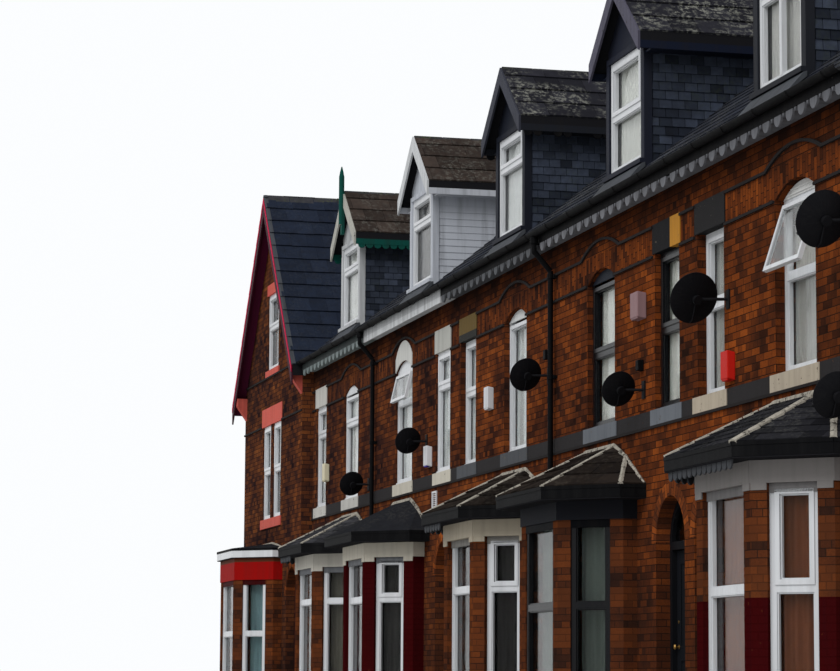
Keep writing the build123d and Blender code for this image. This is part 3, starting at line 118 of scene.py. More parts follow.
def shade(colour):
    """A display colour in hexadecimal, as the linear values that a shader reads."""
    parts = [part / 255 for part in bytes.fromhex(colour)]
    return tuple(p / 12.92 if p <= 0.04045 else ((p + 0.055) / 1.055) ** 2.4 for p in parts)


def colour(name, description, default):
    """A colour that a user can change."""
    return FloatVectorProperty(name=name, description=description, default=shade(default),
                               size=3, min=0, max=1, subtype="COLOR")


def length(name, description, metres):
    """A length that a user can change."""
    return FloatProperty(name=name, description=description, default=metres, min=0.0005,
                         unit="LENGTH")


def share(name, description, default):
    """A share from nothing to all that a user can change."""
    return FloatProperty(name=name, description=description, default=default, min=0, max=1,
                         subtype="FACTOR")


class TerraceBrick(bpy.types.PropertyGroup):
    """Sizes and colours of the brickwork, each named after an input of the brick group."""
    length: length("Brick length", "From joint to joint along a course", 0.225)
    course: length("Course height", "From joint to joint up the wall", 0.075)
    joint: length("Joint", "Half the width of a mortar joint", 0.0045)
    bright: colour("Bright brick", "The least weathered bricks", "b25e28")
    middle: colour("Common brick", "Most of the bricks", "7c4020")
    dark: colour("Dark brick", "Sooty bricks", "502d1e")
    burnt: colour("Burnt brick", "Blackened headers", "2c1d18")
    mortar: colour("Mortar", "Weathered lime mortar", "30241e")
    grime: share("Grime", "How much soot lies on the walls", 0.4)


class TerraceRoof(bpy.types.PropertyGroup):
    """Sizes and colours of the roof coverings."""
    slate_width: length("Slate width", "Width of a main roof slate", 0.25)
    slate_gauge: length("Slate gauge", "Height of slate that shows", 0.2)
    tile_width: length("Tile width", "Width of an end house tile", 0.3)
    tile_gauge: length("Tile gauge", "Height of tile that shows", 0.347)
    slate: colour("Slate", "Main roof slates", "32353e")
    tile: colour("Tile", "End house tiles", "262d3c")
    dormer: colour("Dormer tile", "Large tiles on the dormers", "2d2d33")
    lichen: colour("Lichen", "Pale growth on old tiles", "84847c")
    moss: colour("Moss", "Green growth low on the roof", "525c2c")


class TerraceJoinery(bpy.types.PropertyGroup):
    """Colours of frames, boards and doors."""
    white: colour("White frame", "Plastic window frames", "d4d6d9")
    black: colour("Black frame", "Painted frames of one house", "0d0e11")
    board: colour("Grey board", "Painted valance boards", "707276")
    maroon: colour("Maroon", "Bargeboards and painted piers", "38090b")
    pink: colour("Salmon", "Painted stone of the end house", "c65c50")
    red: colour("Red", "Painted bay lintel of the end house", "920f0d")
    green: colour("Green", "Boards of one dormer", "144a42")


class TerraceStage(bpy.types.PropertyGroup):
    """Floor and light."""
    floor: colour("Floor", "Plain floor", "d6d6d4")
    sky: share("Sky light", "Strength of the even light", 0.62)
    sun: FloatProperty(name="Lamp", description="Strength of the soft lamp", default=1.5, min=0)


# Shader building
class Wire:
    """The output of a node. Adding, multiplying and comparing wires places more nodes."""

    def __init__(self, nodes, socket):
        self.nodes, self.socket = nodes, socket

    def __add__(self, other):
        return self.nodes.maths("ADD", self, other)

    def __sub__(self, other):
        return self.nodes.maths("SUBTRACT", self, other)

    def __rsub__(self, other):
        return self.nodes.maths("SUBTRACT", other, self)

    def __mul__(self, other):
        return self.nodes.maths("MULTIPLY", self, other)

    def __gt__(self, other):
        return self.nodes.maths("GREATER_THAN", self, other)

    def __lt__(self, other):
        return self.nodes.maths("LESS_THAN", self, other)

    def __abs__(self):
        return self.nodes.maths("ABSOLUTE", self)

    def spread(self, low, high, bottom=0.0, top=1.0):
        """Stretch a value from one range to another, and hold it there."""
        return self.nodes.add("MapRange", {0: self, 1: low, 2: high, 3: bottom, 4: top})[0]

    def stretched(self, *scale):
        """A vector with its parts scaled."""
        return self.nodes.add("VectorMath", {0: self, 1: scale}, operation="MULTIPLY")[0]


class Nodes:
    """The nodes of one material, node group or world."""

    def __init__(self, tree):
        self.tree = tree

    def outputs(self, made):
        """The outputs of a node as wires, by name and by number."""
        wires = [Wire(self, socket) for socket in made.outputs]
        return {**dict(enumerate(wires)), **{wire.socket.name: wire for wire in wires}}

    def feed(self, sockets, inputs):
        """Link sockets to wires, or set them to numbers or colours."""
        for key, value in inputs.items():
            if isinstance(value, Wire):
                self.tree.links.new(value.socket, sockets[key])
            elif sockets[key].type == "RGBA":
                value = shade(value) if isinstance(value, str) else value[:3]
                sockets[key].default_value = (*value, 1)
            else:
                sockets[key].default_value = value

    def add(self, kind, inputs=None, **settings):
        """Add a node, set its options, feed its inputs and return its outputs."""
        made = self.tree.nodes.new("ShaderNode" + kind)
        for key, value in settings.items():
            setattr(made, key, value)
        self.feed(made.inputs, inputs or {})
        return self.outputs(made)

    def use(self, name, **inputs):
        """Place a node group."""
        return self.add("Group", inputs, node_tree=bpy.data.node_groups[name])

    def maths(self, operation, first, second=0.0, third=0.0):
        """One step of arithmetic on values."""
        return self.add("Math", {0: first, 1: second, 2: third}, operation=operation)[0]

    def vector(self, *parts):
        """A vector from its parts."""
        return self.add("CombineXYZ", dict(enumerate(parts)))[0]

    def blend(self, factor, first, second, mode="MIX"):
        """Mix two colours."""
        return self.add("Mix", {0: factor, 6: first, 7: second}, data_type="RGBA",
                        blend_type=mode)[2]

    def tinted(self, body, *parts):
        """A colour with its parts multiplied."""
        return self.blend(1.0, body, self.vector(*parts), "MULTIPLY")

    def noise(self, vector, scale, detail=4.0, roughness=0.6):
        """Cloudy noise, as a value."""
        return self.add("TexNoise", {"Vector": vector, "Scale": scale, "Detail": detail,
                                     "Roughness": roughness})["Fac"]


def face_plane(nodes, given):
    """Flat coordinates on any face: along it on the level, and up it."""
    place = nodes.add("TexCoord")
    normal, spot = place["Normal"], place["Object"]
    facing = nodes.add("SeparateXYZ", {0: normal})
    level = nodes.vector(0.0001 - facing["Y"], facing["X"])
    along = nodes.add("VectorMath", {0: level}, operation="NORMALIZE")[0]
    up = nodes.add("VectorMath", {0: normal, 1: along}, operation="CROSS_PRODUCT")[0]
    flat = [nodes.add("VectorMath", {0: spot, 1: way}, operation="DOT_PRODUCT")["Value"]
            for way in (along, up)]
    axes = nodes.add("SeparateXYZ", {0: spot})
    return {"Plane": nodes.vector(*flat), "Position": spot, **{axis: axes[axis] for axis in "XYZ"}}


def brick_bond(nodes, given):
    """Brickwork with three courses of stretchers to one of headers, and soot over it."""
    bricks = nodes.add("TexBrick", {
        "Vector": given["Plane"], "Color1": (0, 0, 0), "Color2": (1, 1, 1),
        "Mortar": (0.5, 0.5, 0.5), "Scale": 1.0, "Mortar Size": given["Joint"],
        "Mortar Smooth": 0.3, "Bias": 0.0, "Brick Width": given["Length"],
        "Row Height": given["Course"]}, squash=0.5, squash_frequency=4)
    patches = nodes.noise(given["Position"], 1.1, 3.0)
    tone = bricks["Color"] * 0.56 + patches.spread(0.3, 0.7, -0.1, 0.5)
    body = given["Burnt"]
    for low, high, name in ((0.0, 0.25, "Dark"), (0.25, 0.6, "Middle"), (0.62, 1.1, "Bright")):
        body = nodes.blend(tone.spread(low, high), body, given[name])
    grain = nodes.noise(given["Position"], 60.0, 3.0)
    body = nodes.tinted(body, *[grain.spread(0.3, 0.7, 0.72, 1.15)] * 3)
    soot = nodes.noise(given["Position"].stretched(0.9, 0.9, 0.35), 0.9, 5.0)
    body = nodes.blend(soot.spread(0.42, 0.72) * given["Grime"], body, given["Burnt"])
    return {"Color": nodes.blend(bricks["Fac"], body, given["Mortar"]),
            "Height": grain * 0.3 + (1.0 - bricks["Fac"])}


def colour_by_house(nodes, given):
    """One of six colours, chosen by where along the row a point lies."""
    body = given["House_a"]
    for letter in TERRACE:
        body = nodes.blend(given["X"] > FAR[letter], body, given["House_" + letter])
    return {"Color": body}


def weathering(nodes, given):
    """Rain streaks, flaked paint and fine grain on painted or bare surfaces."""
    chips = nodes.noise(given["Position"], 14.0, 6.0, 0.7)
    runs = nodes.noise(given["Plane"].stretched(9.0, 0.7, 1.0), 1.0, 4.0)
    return {"Flake": (chips - (0.78 - given["Flaking"] * 0.4)).spread(0.0, 0.02),
            "Streak": runs.spread(0.45, 0.75) * given["Streaks"],
            "Grain": nodes.noise(given["Position"], 90.0, 3.0)}


def slate_face(nodes, given):
    """Slates and tiles that differ one by one, with lichen and moss."""
    tone = nodes.add("Attribute", attribute_name="tone", attribute_type="GEOMETRY")["Fac"]
    level = (tone - 0.5) * given["Contrast"] + 1.0
    cloud = nodes.noise(given["Position"], 7.0, 6.0, 0.7)
    body = nodes.blend(cloud.spread(0.35, 0.75, 0.0, 0.55),
                       nodes.tinted(given["Base"], level, level, level), (0.012, 0.012, 0.014))
    spots = nodes.noise(given["Position"], given["Patches"], 5.0, 0.75)
    patch = nodes.noise(given["Position"], 1.6, 3.0)
    growth = spots.spread(0.5, 0.58) * patch.spread(0.38, 0.6) * given["Lichen"]
    return {"Color": nodes.blend(growth, body, given["Lichen_Colour"]),
            "Height": growth * 0.4 + cloud, "Roughness": growth.spread(0.0, 1.0, 0.5, 0.9)}


# Node groups with the names of their inputs and outputs, by kind
GROUPS = {
    face_plane: ({}, {"Vector": "Plane Position", "Float": "X Y Z"}),
    brick_bond: ({"Vector": "Plane Position", "Float": "Length Course Joint Grime",
                  "Color": "Bright Middle Dark Burnt Mortar"},
                 {"Color": "Color", "Float": "Height"}),
    colour_by_house: ({"Float": "X", "Color": " ".join("House_" + k for k in HOUSES)},
                      {"Color": "Color"}),
    weathering: ({"Vector": "Plane Position", "Float": "Flaking Streaks"},
                 {"Float": "Flake Streak Grain"}),
    slate_face: ({"Vector": "Position", "Color": "Base Lichen_Colour",
                  "Float": "Lichen Contrast Patches"},
                 {"Color": "Color", "Float": "Height Roughness"}),
}


def make_group(build, inputs, outputs):
    """Make a node group, filled by the function that it is named after."""
    tree = bpy.data.node_groups.new(build.__name__, "ShaderNodeTree")
    for side, sockets in (("INPUT", inputs), ("OUTPUT", outputs)):
        for kind, titles in sockets.items():
            for title in titles.split():
                tree.interface.new_socket(title, in_out=side, socket_type="NodeSocket" + kind)
    nodes = Nodes(tree)
    given = nodes.outputs(tree.nodes.new("NodeGroupInput"))
    nodes.feed(tree.nodes.new("NodeGroupOutput").inputs, build(nodes, given))


class Look(Nodes):
    """A new material, with its shader and with flat coordinates on any face."""

    def __init__(self, name):
        self.made = bpy.data.materials.new(name)
        if self.made.name != name:
            raise RuntimeError(f"The frame already has a material called {name}")
        self.made.use_nodes = True
        super().__init__(self.made.node_tree)
        self.shader = self.tree.nodes["Principled BSDF"]
        face = self.use("face_plane")
        self.plane, self.position = face["Plane"], face["Position"]
        self.x, self.y, self.z = (face[axis] for axis in "XYZ")

    def bond(self, brick, plane, **changes):
        """Brickwork of the sizes and colours in the settings."""
        sockets = {key.title(): getattr(brick, key) for key in brick.__annotations__}
        return self.use("brick_bond", Plane=plane, Position=self.position,
                        **{**sockets, **changes})

    def wear(self, flaking, streaks):
        """Weathering of some strength."""
        return self.use("weathering", Plane=self.plane, Position=self.position,
                        Flaking=flaking, Streaks=streaks)

    def by_house(self, values):
        """A colour for each house as one wire, and any other value as it is."""
        if not isinstance(values, dict):
            return values
        sockets = {"House_" + letter: value for letter, value in values.items()}
        return self.use("colour_by_house", X=self.x, **sockets)["Color"]

    def finish(self, body, roughness=0.8, height=None, depth=0.002, strength=1.0, gloss=0.0,
               **extra):
        """Feed colour, roughness and relief to the shader."""
        if height is not None:
            extra["Normal"] = self.add("Bump", {"Height": height, "Distance": depth,
                                                "Strength": strength})[0]
        self.feed(self.shader.inputs, {"Base Color": body, "Roughness": roughness,
                                       "Specular IOR Level": gloss, **extra})


def wall_brick(brick):
    """Outer walls: brickwork with an upright course between the strings, plastered inside."""
    look = Look("wall_brick")
    flat = look.add("SeparateXYZ", {0: look.plane})
    turned = look.vector(flat["Y"] + 0.055, flat["X"])
    street = (look.y < -3.9) * (look.x > -10.0)
    upright = (look.z > 5.89) * (look.z < 6.21) * street
    laid = look.add("Mix", {0: upright, 4: look.plane, 5: turned}, data_type="VECTOR")[1]
    bond = look.bond(brick, laid)
    ends = ((0.57, 0.82), (0.75, 0.79), (1.2, 0.77))
    outside = look.tinted(bond["Color"], *(look.x.spread(-13, 9, *end) for end in ends))
    # Painted shade: the brick darkens towards the burnt colour from 3.9 m down to the foot of the
    # wall.
    outside = look.blend(look.z.spread(3.9, 1.5, 0.0, 0.6), outside, brick.burnt)
    # Soot and painted shade under the eaves: the street fronts darken in streaks from 6.05 m up to
    # the eaves.
    streaky = look.noise(look.position.stretched(2.2, 2.2, 0.8), 1.0)
    eaves = look.z.spread(6.05, 6.6) * streaky.spread(0.25, 0.65, 0.55, 1.0)
    outside = look.blend(eaves * street, outside, "1e1512")
    inner = (look.x < -10.1) * 0.2 + 3.699
    room = (abs(look.y) < inner) * (abs(look.x + 0.265) < 15.04) * (look.z > 0.4)
    plaster = look.blend(look.noise(look.position, 3.0), "968f82", "7e766a")
    look.finish(look.blend(room, outside, plaster), 0.88, bond["Height"] * (1.0 - room), 0.004)


def arch_brick(brick):
    """Rings of cut bricks that fan round each door head."""
    look = Look("arch_brick")
    wrapped = look.maths("WRAP", look.x, 5.0, -5.0)
    across = wrapped - look.maths("SIGN", wrapped) * ((look.x < -10.1) * 0.16 + 0.64)
    rise = look.z - SPRINGING
    angle = look.maths("ARCTAN2", rise, across)
    radius = look.maths("SQRT", across * across + rise * rise)
    bond = look.bond(brick, look.vector(radius - 0.45, angle * 0.555), Grime=0.3)
    look.finish(bond["Color"], 0.88, bond["Height"], 0.004)


def pier_brick(brick, maroon):
    """Bay piers: banded brick darkened by painted shade, painted maroon at some houses."""
    look = Look("pier_brick")
    bond = look.bond(brick, look.plane)
    band = look.maths("WRAP", look.z, 0.45, 0.0) > 0.225
    # Painted shade: the banded brick of the piers is blended six tenths of the way to the burnt
    # colour.
    body = look.blend(0.6, look.blend(band * 0.3, bond["Color"], brick.bright), brick.burnt)
    bare, low, full = ((level,) * 3 for level in (0, 0.5, 1))
    painted = look.by_house(row(bare, bare, full, bare, bare, low))
    coat = (look.z.spread(1.98, 1.96) * 0.5 + painted > 0.9) * (painted > 0.1)
    wear = look.wear(0.25, 0.5)
    paint = look.blend(wear["Streak"], maroon, "2e0c10")
    look.finish(look.blend(coat * (1.0 - wear["Flake"]), body, paint),
                coat.spread(0, 1, 0.88, 0.5), bond["Height"], 0.004)


def painted(name, colours, flaking=0.3, streaks=0.6, under="60584e", roughness=0.6,
            relief=0.0015, above=None, marks=(), gloss=0.02):
    """A painted or bare surface whose colour changes from house to house."""
    look = Look(name)
    body = look.by_house(colours)
    if above:
        higher = look.maths("MAXIMUM", look.z > above[0], look.y > 0.0)
        body = look.blend(higher, body, look.by_house(above[1]))
    for far, near, low, high, other in marks:
        inside = (look.x > far) * (look.x < near) * (look.z > low) * (look.z < high)
        body = look.blend(inside, body, other)
    wear = look.wear(flaking, streaks)
    grain = wear["Grain"]
    grime = look.blend(0.75, body, (0.02, 0.018, 0.016))
    body = look.blend(wear["Flake"], look.blend(wear["Streak"], body, grime), under)
    look.finish(body, grain.spread(0.2, 0.8, roughness - 0.1, roughness + 0.12),
                grain * 0.5 - wear["Flake"], relief, gloss=gloss)


def tiled(name, base, lichen, amount, contrast=0.7, roughness=None, patches=22.0):
    """Slates or tiles with growth on them, in one colour or in one for each house."""
    look = Look(name)
    surface = look.use("slate_face", Position=look.position, Base=look.by_house(base),
                       Lichen_Colour=lichen, Lichen=look.by_house(amount),
                       Contrast=contrast, Patches=patches)
    look.finish(surface["Color"], roughness or surface["Roughness"], surface["Height"], 0.003)


def glass():
    """Clear window glass with a slight ripple, dull with dust."""
    look = Look("window_pane")
    ripple = look.noise(look.position.stretched(1.0, 1.0, 0.6), 2.2, 1.0)
    dust = look.noise(look.position, 5.0)
    look.finish((0.94, 0.96, 0.96), dust.spread(0.3, 0.8, 0.02, 0.14), ripple, 0.006, 0.4, 0.1,
                **{"Transmission Weight": 1.0, "IOR": 1.15})


def cloth(name, *colours):
    """Curtain cloth with a fine weave, in a colour of its own for each house."""
    look = Look(name)
    weave = look.add("TexWave", {"Vector": look.plane, "Scale": 260.0, "Distortion": 0.4})
    shadow = look.noise(look.plane.stretched(6.0, 0.5, 1.0), 1.0, 2.0)
    body = look.blend(shadow.spread(0.3, 0.7, 0.0, 0.4), look.by_house(row(*colours)),
                      (0.05, 0.045, 0.04))
    look.finish(body, 0.9, weave["Fac"], 0.0006)


def boards():
    """Floorboards, with dark gaps between them."""
    look = Look("floor_boards")
    grain = look.noise(look.position.stretched(3.0, 42.0, 42.0), 1.0, 5.0)
    gap = look.maths("WRAP", look.y, 0.12, 0.0) < 0.004
    body = look.blend(grain, "684e34", "947654")
    look.finish(look.blend(gap, body, "1e1610"), 0.6, grain - gap, 0.002)


def metal(name, body, roughness, metallic=0.0):
    """Painted metal or plastic, dusty and finely marked."""
    look = Look(name)
    wear = look.wear(0.1, 0.5)
    dusty = look.blend(wear["Streak"], body, tuple(c * 0.6 + 0.012 for c in shade(body)))
    look.finish(dusty, wear["Grain"].spread(0.3, 0.7, roughness, roughness + 0.15),
                wear["Grain"], 0.0005, gloss=0.05, Metallic=metallic)


def dress(**finishes):
    """Give carried-over nodes of the frame their finish."""
    for finish, names in finishes.items():
        for name in names.split():
            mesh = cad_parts[name].data
            mesh.materials.clear()
            mesh.materials.append(bpy.data.materials[finish])


# Mesh building
class Piece:
    """Collects closed shapes for one named object."""

    def __init__(self, name, *materials):
        self.name, self.materials = name, materials
        self.points, self.faces, self.slots, self.tones = [], [], [], []

    def add(self, points, faces, place=None, slot=0, tone=0.5):
        """Append points and the faces between them."""
        start = len(self.points)
        self.points += [place @ Vector(point) if place else Vector(point) for point in points]
        for face in faces:
            self.faces.append([start + i for i in face])
            self.slots.append(slot)
            self.tones.append(tone)

    def skin(self, points, sides, place=None, slot=0, tone=0.5):
        """Join rings, each of as many points as it has sides, and close both ends."""
        last = len(points) - sides
        faces = [tuple(range(sides))[::-1], tuple(range(last, last + sides))]
        for i in range(last):
            j = i - i % sides + (i + 1) % sides
            faces.append((i, j, j + sides, i + sides))
        self.add(points, faces, place, slot, tone)

    def block(self, low, high, place=None, slot=0):
        """A rectangular solid between two corners."""
        (x0, y0, z0), (x1, y1, z1) = map(min, low, high), map(max, low, high)
        rim = ((x0, y0), (x1, y0), (x1, y1), (x0, y1))
        self.skin([(x, y, z) for z in (z0, z1) for x, y in rim], 4, place, slot)

    def prism(self, outline, run, place=None, slot=0, tone=0.5):
        """A flat outline carried along a vector."""
        start = [Vector(point) for point in outline]
        self.skin(start + [point + Vector(run) for point in start], len(start), place, slot, tone)

    def border(self, wide, low, high, face, front, back, place):
        """A rectangular frame between two depths."""
        rims = [((-wide + d, low + d), (wide - d, low + d), (wide - d, high - d),
                 (-wide + d, high - d)) for d in (0, face)]
        faces = []
        for i in range(4):
            j = (i + 1) % 4
            faces += [(i, j, 4 + j, 4 + i), (8 + i, 12 + i, 12 + j, 8 + j),
                      (i, 8 + i, 8 + j, j), (4 + i, 4 + j, 12 + j, 12 + i)]
        self.add([(x, y, z) for y in (front, back) for rim in rims for x, z in rim], faces, place)

    def turned(self, profile, place=None, sides=24):
        """A profile of (radius, height) pairs turned about its own Z axis."""
        angles = [2 * pi * k / sides for k in range(sides)]
        self.skin([(r * cos(a), r * sin(a), h) for r, h in profile for a in angles], sides, place)

    def tube(self, path, radius, sides=10):
        """A round bar through the given points."""
        path = [Vector(point) for point in path]
        points, side = [], None
        for i, point in enumerate(path):
            ahead = (path[min(i + 1, len(path) - 1)] - path[max(i - 1, 0)]).normalized()
            side = side or ahead.orthogonal().normalized()
            side = (side - ahead * side.dot(ahead)).normalized()
            other = ahead.cross(side)
            for angle in [2 * pi * k / sides for k in range(sides)]:
                points.append(point + radius * (cos(angle) * side + sin(angle) * other))
        self.skin(points, sides)

    def cover(self, origin, along, up, region, gauge, width, lift, seed, gap=0.004,
              stagger=True, level=None):
        """Lay overlapping tiles over a convex region, given in metres along and up a slope."""
        dice = random.Random(seed)
        along, up, origin = Vector(along), Vector(up), Vector(origin)
        normal = along.cross(up)
        area = sum(a[0] * b[1] - b[0] * a[1] for a, b in zip(region, region[1:] + region[:1]))
        region = region if area > 0 else region[::-1]
        (left, bottom), (right, top) = (list(map(limit, *region)) for limit in (min, max))
        underside, thickness = -0.003, 0.004
        for course in range(floor(bottom / gauge), ceil(top / gauge)):
            shift = 0.5 if stagger and course % 2 else 0.0
            for column in range(floor(left / width - shift) - 1, ceil(right / width) + 1):
                x, y = (column + shift) * width + gap / 2, course * gauge
                tone = dice.random()
                slip = dice.uniform(-0.5, 0.5) * gauge * 0.03
                tile = clipped([(x, y + slip), (x + width - gap, y + slip),
                                (x + width - gap, y + gauge), (x, y + gauge)], region)
                if len(tile) < 3:
                    continue
                raised = lift * (1 + dice.uniform(-0.15, 0.15))
                heights = [underside] * len(tile)
                heights += [thickness + raised * max(0.0, 1 - (v - y) / gauge) for _, v in tile]
                self.skin([origin + along * u + up * v + normal * height
                           for (u, v), height in zip(tile * 2, heights)],
                          len(tile), tone=tone if level is None else level)

    def done(self, slot, bevel=0.0, body="building", smooth=False, clean=True):
        """Turn what was collected into an object that rides on a body."""
        mesh = bpy.data.meshes.new(self.name)
        mesh.from_pydata([tuple(point) for point in self.points], [], self.faces)
        for name in self.materials:
            mesh.materials.append(bpy.data.materials[name])
        mesh.polygons.foreach_set("material_index", self.slots)
        mesh.attributes.new("tone", "FLOAT", "FACE").data.foreach_set("value", self.tones)
        if clean:
            shape = bmesh.new()
            shape.from_mesh(mesh)
            bmesh.ops.recalc_face_normals(shape, faces=shape.faces)
            shape.to_mesh(mesh)
            shape.free()
        if smooth:
            mesh.shade_smooth()
        mesh.update()
        made = bpy.data.objects.new(self.name, mesh)
        bpy.context.scene.collection.objects.link(made)
        if bevel:
            edge = made.modifiers.new("Edges", "BEVEL")
            edge.width, edge.segments = bevel, 2
            edge.limit_method, edge.angle_limit = "ANGLE", radians(40)
        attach(made, body)
        return made


def clipped(shape, region):
    """The part of a flat shape that lies inside a convex region."""
    for (ax, ay), (bx, by) in zip(region, region[1:] + region[:1]):
        kept = []
        for (px, py), (qx, qy) in zip(shape, shape[1:] + shape[:1]):
            p_side = (bx - ax) * (py - ay) - (by - ay) * (px - ax)
            q_side = (bx - ax) * (qy - ay) - (by - ay) * (qx - ax)
            if p_side >= 0:
                kept.append((px, py))
            if p_side * q_side < 0:
                part = p_side / (p_side - q_side)
                kept.append((px + (qx - px) * part, py + (qy - py) * part))
        shape = kept
        if len(shape) < 3:
            return []
    return shape


def segment(half, rise, steps=14):
    """Points along a shallow arch, from its left end to its right."""
    radius = (half * half + rise * rise) / (2 * rise)
    angles = [asin(half / radius) * (2 * i / steps - 1) for i in range(steps + 1)]
    return [(radius * sin(angle), radius * cos(angle) - radius + rise) for angle in angles]


def rounded_drop(pitch, wide, radius, lift, hang, depth):
    """Outline of a rounded drop under a board, along it and up."""
    curve = [(pitch * (wide / 2 + radius * cos(pi * k / 6)), -hang - depth * sin(pi * k / 6))
             for k in range(7)]
    return [(0, lift), (pitch * wide, lift), *curve]


def turn(angle, x=0.0, y=0.0, z=0.0):
    """A place turned about the vertical, in degrees."""
    return Matrix.Translation((x, y, z)) @ Matrix.Rotation(radians(angle), 4, "Z")


def bay_faces(letter):
    """Places of a bay's three outer faces: front, far cant, near cant, with -Y outwards."""
    x, y = BAY[letter], FRONT[letter]
    yield turn(0, x, y - 0.75), 0.57
    for side in (-1, 1):
        yield turn(side * 45, x + side * 1.045, y - 0.455), 0.25


def end_foot(side, y):
    """Foot of the end house's roof on one side."""
    run = END_RUNS[side]
    return Vector((END_CENTRE + side * run, y, RIDGE - run * tan(END_PITCH)))


class TERRACE_OT_finishes(bpy.types.Operator):
    """Make every finish that the pieces use"""
    bl_idname = "terrace.finishes"
    bl_label = "Finishes"

    def execute(self, context):
        for build, sockets in GROUPS.items():
            make_group(build, *sockets)
        brick, roof = context.scene.terrace_brick, context.scene.terrace_roof
        joinery = context.scene.terrace_joinery
        white, black, board, maroon, pink, red, green = (
            getattr(joinery, key) for key in joinery.__annotations__)
        wall_brick(brick)
        arch_brick(brick)
        pier_brick(brick, maroon)
        self.roofing(roof)
        cream, painted_gutter_shade, brown = "c4beb0", "101012", "22242a"
        painted("sill_paint", row(pink, "bebcb6", cream, "4e5054", "686c72", "b2a694"), 0.35, 0.35)
        painted("lintel_paint", row(pink, "c0beb8", "b0b0aa", "62502c", "18181a", "222122"), 0.3,
                0.3, marks=[(0, 5, 5.8, 6.0, "2c2c2a"), (9.43, 9.9, 5.8, 6.5, "b47e30")])
        painted("bay_lintel_paint", row(red, "c4c0b6", cream, "b2a896", "1e1f24", "888482"), 0.2,
                0.25, marks=[(-16, -11, 3.33, 3.5, "5c3222")])
        painted("bay_infill", row(maroon, board, board, "807e7a", black, "787676"), 0.2, 0.5)
        painted("string_stone", "282525", 0.25, 0.5, "4a382e", 0.75, 0.003)
        painted("band_stone", "2e2c2d", 0.3, 0.5, "543c30", 0.7, 0.003)
        painted("step_stone_finish", "968f82", 0.1, 0.8, "706a60", 0.85, 0.002)
        painted("frame_white", row(white, white, white, white, black, white), 0.0, 0.25,
                roughness=0.3, relief=0.0004, above=(6.6, white), gloss=0.15)
        painted("gable_red", "3e1824", 0.2, 0.5, "3c322e", 0.5)
        painted("gable_line", "c41646", 0.1, 0.3, maroon, 0.5)
        painted("gable_salmon", pink, 0.15, 0.5, "6e544e", 0.6)
        # Above 6.585 m, and on the rear boards, most houses' valance boards take a near-black
        # painted shade, the shade under the gutter.
        painted("valance_paint", row(board, "7e8888", "c8cacc", "585a5e", "74757a", "6c6d72"), 0.3,
                0.6, "403c38", 0.55, marks=[(-9, 16, 3, 5, "404246")],
                above=(6.585, row(painted_gutter_shade, "3c4242", "b4b6b8", painted_gutter_shade, painted_gutter_shade, painted_gutter_shade)))
        painted("barge_paint", row(maroon, "b0aea6", "caccce", "3a3c46", "545260", "34363e"), 0.3,
                0.5, "322c2c", 0.5,
                marks=[(DORMER["b"] - 0.06, DORMER["b"] + 0.06, 8.79, 10.5, green)])
        painted("dormer_paint", row(maroon, "babcbe", "babec6", "1e212a", "222530", "24262c"),
                0.15, 0.5, "3c3a3a", 0.45)
        painted("dormer_eaves_paint", row(maroon, green, "bec1c8", brown, "1a1f2e", brown), 0.2,
                0.5, "3c3a38", 0.5)
        painted("finial_green", green, 0.2, 0.4, "2c322e", 0.5)
        painted("arch_paint", row(white, white, white, "ced0d0", "22262e", "d4d4d2"), 0.05, 0.4,
                roughness=0.5)
        painted("render_paint", "c8c8c4", 0.15, 0.2, "78746e", 0.8, 0.003)
        painted("white_board", "bcc0c8", 0.05, 0.5, "787878", 0.4, 0.0006)
        painted("lead_sheet", "4a4d52", 0.1, 0.8, "6e6e6c", 0.6)
        painted("mortar_fillet", "aca69a", 0.5, 0.7, "58544e", 0.9, 0.006)
        painted("door_paint", row("78181a", "1e3454", "bcbcba", "3a1e18", "16181c", "1c1e22"),
                0.05, 0.3, roughness=0.35, relief=0.0005)
        painted("door_frame_paint",
                row("341416", "3c2e26", "787672", "221816", "141518", "282626"), 0.05, 0.4,
                roughness=0.45, relief=0.0005)
        painted("underlay", "1e1e21", 0.1, 0.3, "3c3834", 0.9,
                marks=[(-16, -12.9, 6, 12, "541a34")])
        self.fittings()
        return {"FINISHED"}

    def roofing(self, roof):
        """Slates, tiles and felt."""
        dormer, lichen, moss, brown = roof.dormer, roof.lichen, roof.moss, "403732"
        tiled("main_slates", roof.slate, lichen, 0.35)
        tiled("end_tiles", roof.tile, lichen, 0.04, 0.3, 0.55)
        tiled("dormer_tile", row(dormer, brown, brown, dormer, dormer, "2c2b2e"), lichen,
              row(*((part,) * 3 for part in (0.3, 0.3, 0.3, 0.9, 1.0, 0.5))), patches=15.0)
        tiled("cheek_slate", "393f4c", moss, 0.1, 1.1)
        tiled("bay_slate", row(dormer, "3e3e42", dormer, dormer, dormer, "28282c"), lichen, 0.2,
              0.9)
        tiled("bay_roof_tile", "28221e", "565048", 0.3, 1.0, patches=16.0)
        tiled("ridge_tile", "3e3e42", moss, 0.5, 0.6)
        tiled("felt", "26272b", "56544e", 0.25, 0.3, 0.8)

    def fittings(self):
        """Metal, plastic, glass, floorboards and cloth."""
        metal("black_plastic", "0a0a0c", 0.6)
        metal("dish_paint", "141417", 0.5)
        metal("brass", "967642", 0.32, 1.0)
        metal("box_cream", "cec6aa", 0.45)
        metal("box_white", "ceced0", 0.4)
        metal("box_rose", "8a6e70", 0.45)
        metal("box_red", "be1e14", 0.4)
        metal("box_blue", "3c32a0", 0.4)
        glass()
        boards()
        # The near-black cloths of houses c and d are painted shade: dark sheets that stand for the
        # unlit rooms behind their windows.
        cloth("net_cloth", "708e92", "5c584e", "262626", "161617", "545e58", "784226")
        cloth("blind_cloth", "d6dada", "dededa", "d6d8d6", "d8dad8", "deded6", "bab8b2")


